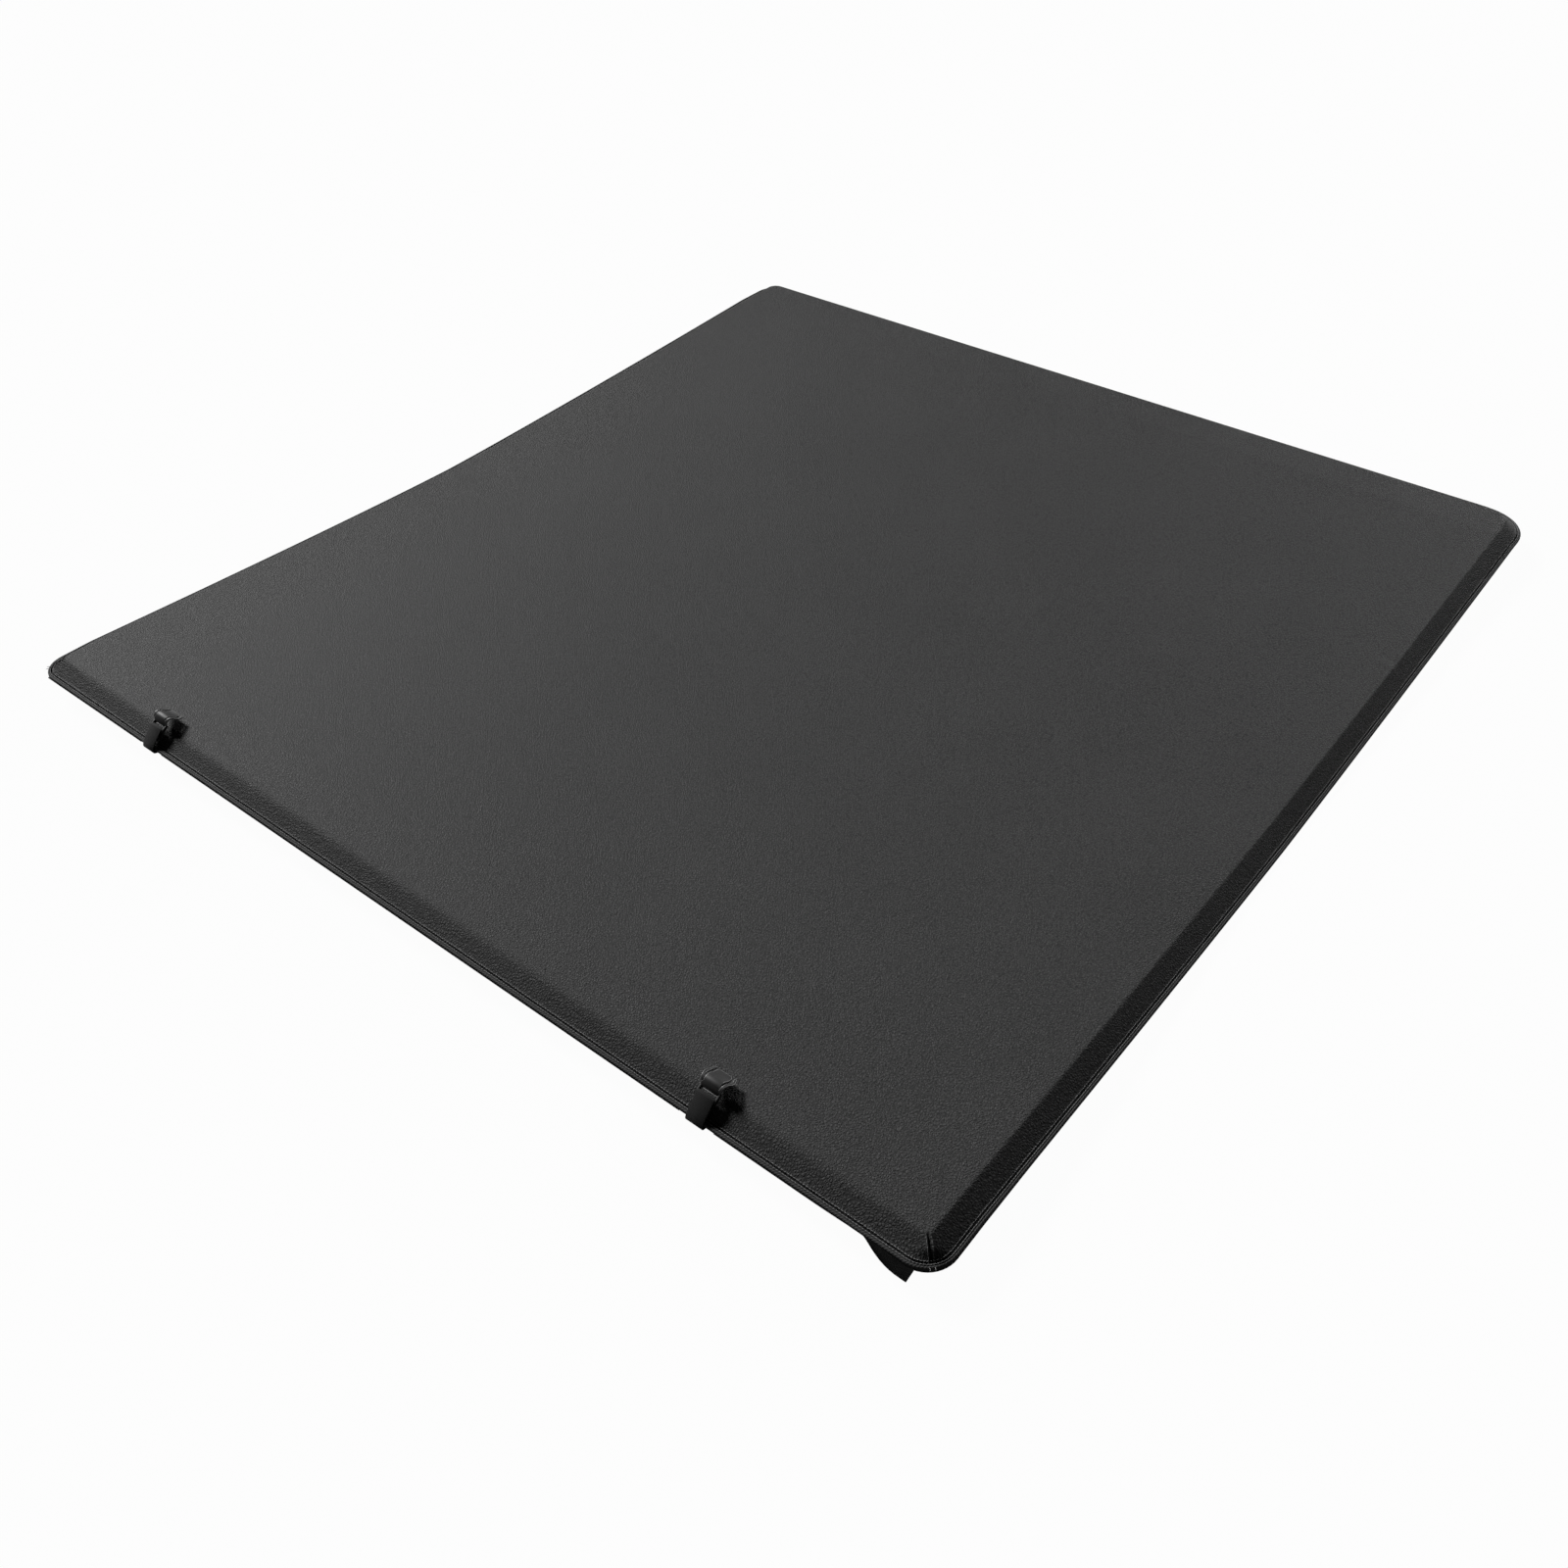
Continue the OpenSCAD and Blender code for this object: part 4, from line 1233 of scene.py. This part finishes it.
# ---- Straps and buckles --------------------------------------------------------------------------------------------
@dataclass
class StorageStraps:
    """Webbing and side-release buckles that tie the rolled cover, one pair on each side."""

    cover: Cover
    web_w: float = 24 * MM
    web_t: float = 1.5 * MM
    loop_r: float = 2.7 * MM
    ladder: Pair = (19 * MM, 21 * MM)
    edge_pivot: Pair = (-2.4 * MM, -2.4 * MM)
    bar_face: float = 31 * MM
    back_face: float = 73 * MM
    back_bend: float = -14.6 * MM
    lower_pin: Pair = (116 * MM, -24.4 * MM)
    blade_t: float = 2.4 * MM
    blade_w: float = 27 * MM
    neck_w: float = 21 * MM

    def place(self, point: Pair) -> Pair:
        """A point given from the cab edge of the hem, in the cover's own frame."""
        return (point[0] - self.cover.half_l, point[1] + self.cover.hem_z)

    def webbing(self, name: str, x: float, points: Sequence[Pair]) -> bpy.types.Object:
        """A length of webbing whose middle line runs through points, given from the cab edge."""
        section = rounded_strip(self.web_w, self.web_t, 0.6 * MM)
        stations = rails(x, [self.place(p) for p in points])
        return finish_mesh(sweep(stations, section), name, [Finish.WEBBING.material()], 50)

    def root_line(self) -> list[Pair]:
        """From the plate on the bar's cab face, under the hem, to its outer edge."""
        start = self.bar_face - self.web_t / 2 - 0.02 * MM
        down = scaled([(start / MM, -8), (30, -14), (17, -10), (-0.4, -4.6)])
        return [(start, 5 * MM), (start, 0), (start, -4 * MM)] + bezier(down, 14)

    def upper_line(self) -> list[Pair]:
        """From the edge of the hem up to the buckle's bar, round it and back along itself."""
        fold = bezier(scaled([(-0.4, -4.6), (-3.0, -4.2), (-3.4, -1.6), (-2.5, 0.6)]), 8)
        c, r = self.ladder, self.loop_r
        meet = (c[0] + r * math.cos(math.radians(135)), c[1] + r * math.sin(math.radians(135)))
        rise = bezier([fold[-1], (0.6 * MM, 8.2 * MM), (9.5 * MM, 15.6 * MM), meet], 14)
        loop = arc(c, r, 135, -45, 14)
        tail = bezier([loop[-1], (loop[-1][0] - 3 * MM, loop[-1][1] - 3 * MM), (11.6 * MM, 14.2 * MM),
                       (7.2 * MM, 10.6 * MM)], 8)
        return fold + rise[1:] + loop[1:] + tail[1:]

    def lower_line(self) -> list[Pair]:
        """From the plate on the bar's back face down to the floor and round the socket's bar."""
        start = self.back_face + self.web_t / 2 + 0.02 * MM
        c, r = self.lower_pin, self.loop_r
        drop = bezier([(start, self.back_bend - 0.5 * MM), (start - 0.2 * MM, -27.6 * MM),
                       (c[0] - 25 * MM, c[1] - r - 2.6 * MM), (c[0], c[1] - r)], 18)
        loop = arc(c, r, -90, 90, 14)
        tail = bezier([loop[-1], (c[0] - 5 * MM, c[1] + r), (c[0] - 9 * MM, -25.4 * MM),
                       (c[0] - 15 * MM, -26.1 * MM)], 8)
        return [(start, 5 * MM), (start, -3 * MM), (start, -11 * MM)] + drop + loop[1:] + tail[1:]

    def blade_line(self) -> list[Pair]:
        """Side view of the pronged half's blade, from its front lip to its tip."""
        front = bezier(scaled([(24.6, 22.3), (26.8, 27.4), (26.2, 35.0), (32.3, 35.0)]), 10)
        back = bezier(scaled([(32.3, 35.0), (38.5, 35.0), (40.5, 27.4), (50.5, 26.8)]), 14)
        return front + back[1:]

    def wrapped(self, x: float, outline: Sequence[Pair], thickness: float) -> bmesh.types.BMesh:
        """A slab with rounded edges bent along the blade line.

        Args:
            x: middle of the buckle across the bed.
            outline: its plan, as (across, distance along the blade line) in metres.
            thickness: thickness of the slab.

        Returns:
            The slab in its place.
        """
        line = rails(x, [self.place(p) for p in self.blade_line()])
        bm = bmesh.new()
        bm.faces.new([bm.verts.new((a, s, thickness / 2)) for a, s in outline])
        bmesh.ops.bevel(bm, geom=bm.verts[:], offset=0.9 * MM, offset_type="OFFSET", segments=3, profile=0.5,
                        affect="VERTICES", material=-1)
        bm.normal_update()
        if bm.faces[:][0].normal.z < 0:
            bmesh.ops.reverse_faces(bm, faces=bm.faces[:])
        bmesh.ops.solidify(bm, geom=bm.faces[:], thickness=thickness)
        # The narrow bevels round the blade and prongs take a light grey: a painted highlight along their edges.
        edges = [e for e in bm.edges if e.calc_face_angle(0.0) > math.radians(60)]
        highlight_bevel = bmesh.ops.bevel(bm, geom=edges, offset=0.55 * MM, offset_type="OFFSET", segments=3, profile=0.5,
                               affect="EDGES", material=-1)
        for face in highlight_bevel["faces"]:
            face.material_index = 1
        longest = line[-1].run
        for i in range(1, 40):
            bmesh.ops.bisect_plane(bm, geom=bm.verts[:] + bm.edges[:] + bm.faces[:], dist=1e-7,
                                   plane_co=(0, longest * i / 40, 0), plane_no=(0, 1, 0))
        for v in bm.verts:
            v.co = self.along(line, v.co.y, v.co.x, v.co.z)
        return bm

    @staticmethod
    def along(line: Sequence[Rail], run: float, across: float, out: float) -> Vector:
        """The point at a distance along rails, continued straight past both ends."""
        i = 0
        while i < len(line) - 2 and line[i + 1].run < run:
            i += 1
        a, b = line[i], line[i + 1]
        share = (run - a.run) / (b.run - a.run)
        return a.at(across, out).lerp(b.at(across, out), share)

    def profile_plate(self, x: float, width: float, points: Sequence[Pair], rounding: float) -> bmesh.types.BMesh:
        """A plate whose outline lies in the YZ plane, width wide across X, with rounded edges."""
        bm = bmesh.new()
        face = bm.faces.new([bm.verts.new((x - width / 2, *self.place(p))) for p in points])
        made = bmesh.ops.extrude_face_region(bm, geom=[face])
        moved = [v for v in made["geom"] if isinstance(v, bmesh.types.BMVert)]
        bmesh.ops.translate(bm, vec=(width, 0, 0), verts=moved)
        bmesh.ops.recalc_face_normals(bm, faces=bm.faces[:])
        if rounding:
            bmesh.ops.bevel(bm, geom=bm.edges[:], offset=rounding, offset_type="OFFSET", segments=2, profile=0.5,
                            affect="EDGES", material=-1)
        return bm

    def rod(self, x: float, point: Pair, radius: float, length: float) -> bmesh.types.BMesh:
        """A round rod across the bed with softened ends."""
        bm = bmesh.new()
        y, z = self.place(point)
        turn = Matrix.Translation((x, y, z)) @ Euler((0, math.pi / 2, 0)).to_matrix().to_4x4()
        bmesh.ops.create_cone(bm, cap_ends=True, segments=20, radius1=radius, radius2=radius, depth=length, matrix=turn)
        rims = [e for e in bm.edges if e.calc_face_angle(0.0) > math.radians(60)]
        bmesh.ops.bevel(bm, geom=rims, offset=radius * 0.35, offset_type="OFFSET", segments=3, profile=0.5,
                        affect="EDGES", material=-1)
        return bm

    def prong_half(self, name: str, x: float) -> bpy.types.Object:
        """Pronged half of the buckle: front lip, blade, two prongs, ears and the bar that holds the strap."""
        w, n = self.blade_w / 2, self.neck_w / 2
        end = rails(x, self.blade_line())[-1].run
        blade = [(-w, 0), (w, 0), (w, 7.5 * MM), (n, 10.5 * MM), (n, end - 3 * MM), (n - 2.5 * MM, end),
                 (-n + 2.5 * MM, end), (-n, end - 3 * MM), (-n, 10.5 * MM), (-w, 7.5 * MM)]
        arm = [(10.2, 6.5), (w / MM, 6.5), (15.6, 14), (17.9, 24), (17.6, 30), (15.2, 36.5), (12.6, 37.2),
               (12.2, 34.0), (14.0, 31.6), (14.2, 27), (12.6, 17), (11.0, 11)]
        parts = [self.wrapped(x, blade, self.blade_t)]
        for side in (-1, 1):
            outline = scaled([(side * a, b) for a, b in arm])
            parts.append(self.wrapped(x, outline if side > 0 else outline[::-1], 2.2 * MM))
            ear = scaled([(16.8, 19.2), (18.4, 18.3), (20.6, 18.7), (27.6, 24.2), (27.0, 27.4), (24.6, 26.6),
                          (18.2, 23.6), (16.7, 22.0)])
            parts.append(self.profile_plate(x + side * (w - 1.1 * MM), 2.2 * MM, ear, 0.4 * MM))
        parts.append(self.rod(x, self.ladder, 1.6 * MM, self.blade_w - 1 * MM))
        # The front lip takes a light grey: a painted highlight along the lip.
        lip = self.rod(x, (24.7 * MM, 23.1 * MM), 1.35 * MM, self.blade_w)
        for face in lip.faces:
            face.material_index = 2
        finishes = (Finish.BUCKLE, Finish.BUCKLE_EDGE, Finish.BUCKLE_LIP)
        return finish_mesh(joined([*parts, lip]), name, [finish.material() for finish in finishes], 35)

    def socket_half(self, name: str, x: float) -> bpy.types.Object:
        """Socket half of the buckle, with its mouth away from the strap."""
        size, wall, gap = (34 * MM, 40 * MM, 11 * MM), 2.4 * MM, 5 * MM
        y, z = self.place(self.lower_pin)
        bm = bmesh.new()
        bmesh.ops.create_cube(bm, size=1.0)
        bmesh.ops.scale(bm, vec=size, verts=bm.verts[:])
        corners = [e for e in bm.edges if abs(e.verts[0].co.y - e.verts[1].co.y) > 1e-6]
        bmesh.ops.bevel(bm, geom=corners, offset=2.6 * MM, offset_type="OFFSET", segments=4, profile=0.5,
                        affect="EDGES", material=-1)
        ends = [e for e in bm.edges if abs(e.calc_face_angle(0.0)) > math.radians(60)]
        bmesh.ops.bevel(bm, geom=ends, offset=0.9 * MM, offset_type="OFFSET", segments=2, profile=0.5,
                        affect="EDGES", material=-1)
        mouth = max(bm.faces, key=lambda f: f.calc_center_median().y)
        bmesh.ops.inset_individual(bm, faces=[mouth], thickness=wall - 0.9 * MM, use_even_offset=True)
        pushed = bmesh.ops.extrude_discrete_faces(bm, faces=[mouth])["faces"]
        bmesh.ops.translate(bm, vec=(0, -(size[1] - 2 * wall), 0), verts=pushed[0].verts[:])
        for side in (-1, 1):
            wallface = max(bm.faces, key=lambda f: side * f.normal.x * f.calc_area())
            for place in (-1.5 * MM, 10.5 * MM):
                geom = [wallface, *wallface.edges, *wallface.verts]
                cut = bmesh.ops.bisect_plane(bm, geom=geom, dist=1e-7, plane_co=(0, place, 0), plane_no=(0, 1, 0))
                halves = [g for g in cut["geom"] if isinstance(g, bmesh.types.BMFace)]
                wallface = min(halves, key=lambda f: abs(f.calc_center_median().y - 4.5 * MM))
            bmesh.ops.inset_individual(bm, faces=[wallface], thickness=0.7 * MM, use_even_offset=True)
            dent = bmesh.ops.extrude_discrete_faces(bm, faces=[wallface])["faces"]
            bmesh.ops.translate(bm, vec=(-side * 1.9 * MM, 0, 0), verts=dent[0].verts[:])
        grip = max(bm.faces, key=lambda f: f.normal.z * f.calc_area())
        bmesh.ops.inset_individual(bm, faces=[grip], thickness=4 * MM, use_even_offset=True)
        bmesh.ops.inset_individual(bm, faces=[grip], thickness=0.8 * MM, depth=-0.7 * MM, use_even_offset=True)
        bmesh.ops.translate(bm, vec=(x, y + gap + size[1] / 2, z), verts=bm.verts[:])
        pin_in, half = self.lower_pin, self.blade_w / 2
        parts = [bm, self.rod(x, pin_in, 1.6 * MM, 2 * half)]
        for side in (-1, 1):
            ear = [(pin_in[0] - 2 * MM, pin_in[1] - 2.2 * MM), (pin_in[0] + 6 * MM, pin_in[1] - 2.2 * MM),
                   (pin_in[0] + 6 * MM, pin_in[1] + 2.2 * MM), (pin_in[0] - 2 * MM, pin_in[1] + 2.2 * MM)]
            parts.append(self.profile_plate(x + side * (half - 1.1 * MM), 2.2 * MM, ear, 0.5 * MM))
        return finish_mesh(joined(parts), name, [Finish.BUCKLE.material()], 35)

    def build(self) -> None:
        """Make both sides' straps and buckles; the root webbing and the buckle halves go on their bodies."""
        for i, side in enumerate(("left", "right")):
            low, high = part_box(f"strap_{side}")
            x = (low.x + high.x) / 2
            root = self.webbing(f"strap_root_webbing_{side}", x, self.root_line())
            upper = self.webbing(f"strap_webbing_{side}", x, self.upper_line())
            lower = self.webbing(f"lower_webbing_{side}", x, self.lower_line())
            prongs = self.prong_half(f"buckle_prongs_{side}", x)
            socket = self.socket_half(f"buckle_socket_{side}", x)
            if i == 0:
                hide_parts("strap_roots")
            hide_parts(f"strap_{side}")
            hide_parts(f"lower_strap_{side}")
            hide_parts(f"buckle_{side}")
            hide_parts(f"lower_buckle_{side}")
            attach(root, "header")
            edge_y, edge_z = self.place(self.edge_pivot)
            edge_z - 2.2 * MM
            edge_z + 5.4 * MM
            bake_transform(upper)
            back_y, back_z = self.place((self.back_face, self.back_bend))
            back_z + 2.5 * MM
            back_z - 4 * MM
            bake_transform(lower)
            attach(prongs, f"buckle_{side}")
            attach(socket, f"lower_buckle_{side}")
            LOG.info("straps and buckle halves, %s, at x %.3f m", side, x)


# ---- CAD parts that keep their shape -----------------------------------------------------------------------------------
@dataclass
class Hardware:
    """Bars, plugs, seals, bows, caps, plates and screws, which keep their CAD meshes."""

    bows: tuple[int, ...] = (1, 3, 5, 7)

    def finishes(self) -> dict[str, tuple[Finish, str]]:
        """Finish and record slot of every CAD node that stays."""
        found = {}
        for end in ("header", "tail"):
            found[f"{end}_bar"] = (Finish.BAR, "bar")
            found[f"{end}_plugs"] = (Finish.PLUG, "plug")
            found[f"{end}_seal"] = (Finish.RUBBER, "rubber")
        for k in self.bows:
            found[f"bow_{k:02d}"] = (Finish.BOW, "bow")
            found[f"bow_caps_{k:02d}"] = (Finish.PLUG, "plug")
        found["strap_plates"] = (Finish.PLATE, "fastener")
        found["strap_screws"] = (Finish.STEEL, "fastener")
        return found

    def build(self) -> None:
        """Give each node its finish."""
        for name, (finish, slot) in self.finishes().items():
            node = frame["nodes"][name]
            node.data.materials.clear()
            node.data.materials.append(finish.material())
            LOG.info("%s: %s", name, finish.value.name)


# ---- Studio ------------------------------------------------------------------------------------------------------------------
@dataclass(frozen=True)
class Sun:
    """A distant soft light; its azimuth is measured from -X towards +Y."""

    name: str
    azimuth_deg: float
    elevation_deg: float
    strength: float
    angle_deg: float

    def build(self) -> None:
        """Make the light."""
        data = bpy.data.lights.new(self.name, "SUN")
        data.energy, data.angle = self.strength, math.radians(self.angle_deg)
        e, a = math.radians(self.elevation_deg), math.radians(self.azimuth_deg)
        to_light = Vector((-math.cos(e) * math.cos(a), math.cos(e) * math.sin(a), math.sin(e)))
        made = bpy.data.objects.new(self.name, data)
        made.rotation_euler = to_light.to_track_quat("Z", "Y").to_euler()
        bpy.context.scene.collection.objects.link(made)


@dataclass(frozen=True)
class Studio:
    """Pale floor, soft light and the camera."""

    camera_at: tuple[float, float, float] = (1.1484, -1.4884, 1.3063)
    camera_turn_deg: tuple[float, float, float] = (48.4017, 1.0446, 38.7555)
    lens_mm: float = 33.69
    suns: tuple[Sun, ...] = (Sun("key", 8, 34, 5.4, 16), Sun("rim", 93, 14, 1.3, 16))
    floor_half: float = 40.0
    floor_tone: float = 0.22
    floor_glow: float = 1.02
    glow_share: float = 0.95
    world_strength: float = 0.015
    backdrop: float = 1.0

    def camera(self) -> None:
        """Make the camera."""
        data = bpy.data.cameras.new("camera")
        data.lens, data.sensor_width = self.lens_mm, 36.0
        data.clip_start, data.clip_end = 0.05, 200.0
        made = bpy.data.objects.new("camera", data)
        made.location = self.camera_at
        made.rotation_euler = Euler([math.radians(a) for a in self.camera_turn_deg])
        bpy.context.scene.collection.objects.link(made)
        bpy.context.scene.camera = made

    def floor(self) -> None:
        """Make the pale floor, which looks brighter than the light that it throws back."""
        bm = bmesh.new()
        bmesh.ops.create_grid(bm, x_segments=1, y_segments=1, size=self.floor_half)
        g = Graph("pale_floor")
        tone = g.tone(g.noise(g.place(), 3.0), self.floor_tone * 0.98, self.floor_tone)
        matt = g.wire("ShaderNodeBsdfDiffuse", {}, {"Color": tone})
        glow = g.wire("ShaderNodeEmission", {}, {"Color": (1, 1, 1, 1), "Strength": self.floor_glow})
        seen = g.wire("ShaderNodeLightPath", {}, {}, "Is Camera Ray")
        mix = g.wire("ShaderNodeMixShader", {}, {0: seen * self.glow_share, 1: matt, 2: glow})
        output = g.node("ShaderNodeOutputMaterial", {}, {})
        g.tree.links.new(mix.socket, output.inputs["Surface"])
        made = finish_mesh(bm, "floor", [g.material], recalculate=False)
        made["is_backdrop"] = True

    def world(self) -> None:
        """Make the world: dim soft light, and a pale backdrop for the camera."""
        world = bpy.data.worlds.new("studio")
        world.use_nodes = True
        bpy.context.scene.world = world
        nodes, links = world.node_tree.nodes, world.node_tree.links
        nodes.clear()
        light, backdrop = nodes.new("ShaderNodeBackground"), nodes.new("ShaderNodeBackground")
        light.inputs["Strength"].default_value = self.world_strength
        backdrop.inputs["Strength"].default_value = self.backdrop
        for background in (light, backdrop):
            background.inputs["Color"].default_value = (1, 1, 1, 1)
        path, mix, output = (nodes.new(f"ShaderNode{kind}") for kind in ("LightPath", "MixShader", "OutputWorld"))
        links.new(path.outputs["Is Camera Ray"], mix.inputs[0])
        links.new(light.outputs[0], mix.inputs[1])
        links.new(backdrop.outputs[0], mix.inputs[2])
        links.new(mix.outputs[0], output.inputs["Surface"])

    def build(self) -> None:
        """Make the studio."""
        bpy.context.scene.view_settings.view_transform = "Standard"
        self.camera()
        for sun in self.suns:
            sun.build()
        self.floor()
        self.world()
        LOG.info("studio: lens %.2f mm, %d lights", self.lens_mm, len(self.suns))


def write_sizes() -> None:
    """Log the CAD box and the visual model's box."""
    boxes = {"cad": CAD_BOX, "visual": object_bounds()}
    plain = {name: [list(corner) for corner in box] for name, box in boxes.items()}
    LOG.info("boxes: %s", plain)


def main() -> None:
    """Build the cover round its frame."""
    folds = tuple(j["pos_m"][1] for j in frame["joints"] if j["parent"] == "header" and j["name"] == "roll_up"
                  or j["name"].endswith("_turn"))
    cover = Cover(half_w=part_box("binding_05")[1].x, half_l=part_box("tail_binding")[1].y,
                  flat_z=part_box("tail_bar")[1].z + Cover.skin_t, folds=folds)
    Studio().build()
    SoftTop(cover).build()
    BowSleeves(cover).build()
    straps = StorageStraps(cover)
    straps.build()
    middles = tuple((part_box(f"strap_{side}")[0].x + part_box(f"strap_{side}")[1].x) / 2 for side in ("left", "right"))
    CabFlaps(cover, middles).build()
    Hardware().build()
    write_sizes()


if __name__ == "__main__":
    logging.basicConfig(level=logging.INFO, format="%(name)s: %(message)s")
    main()
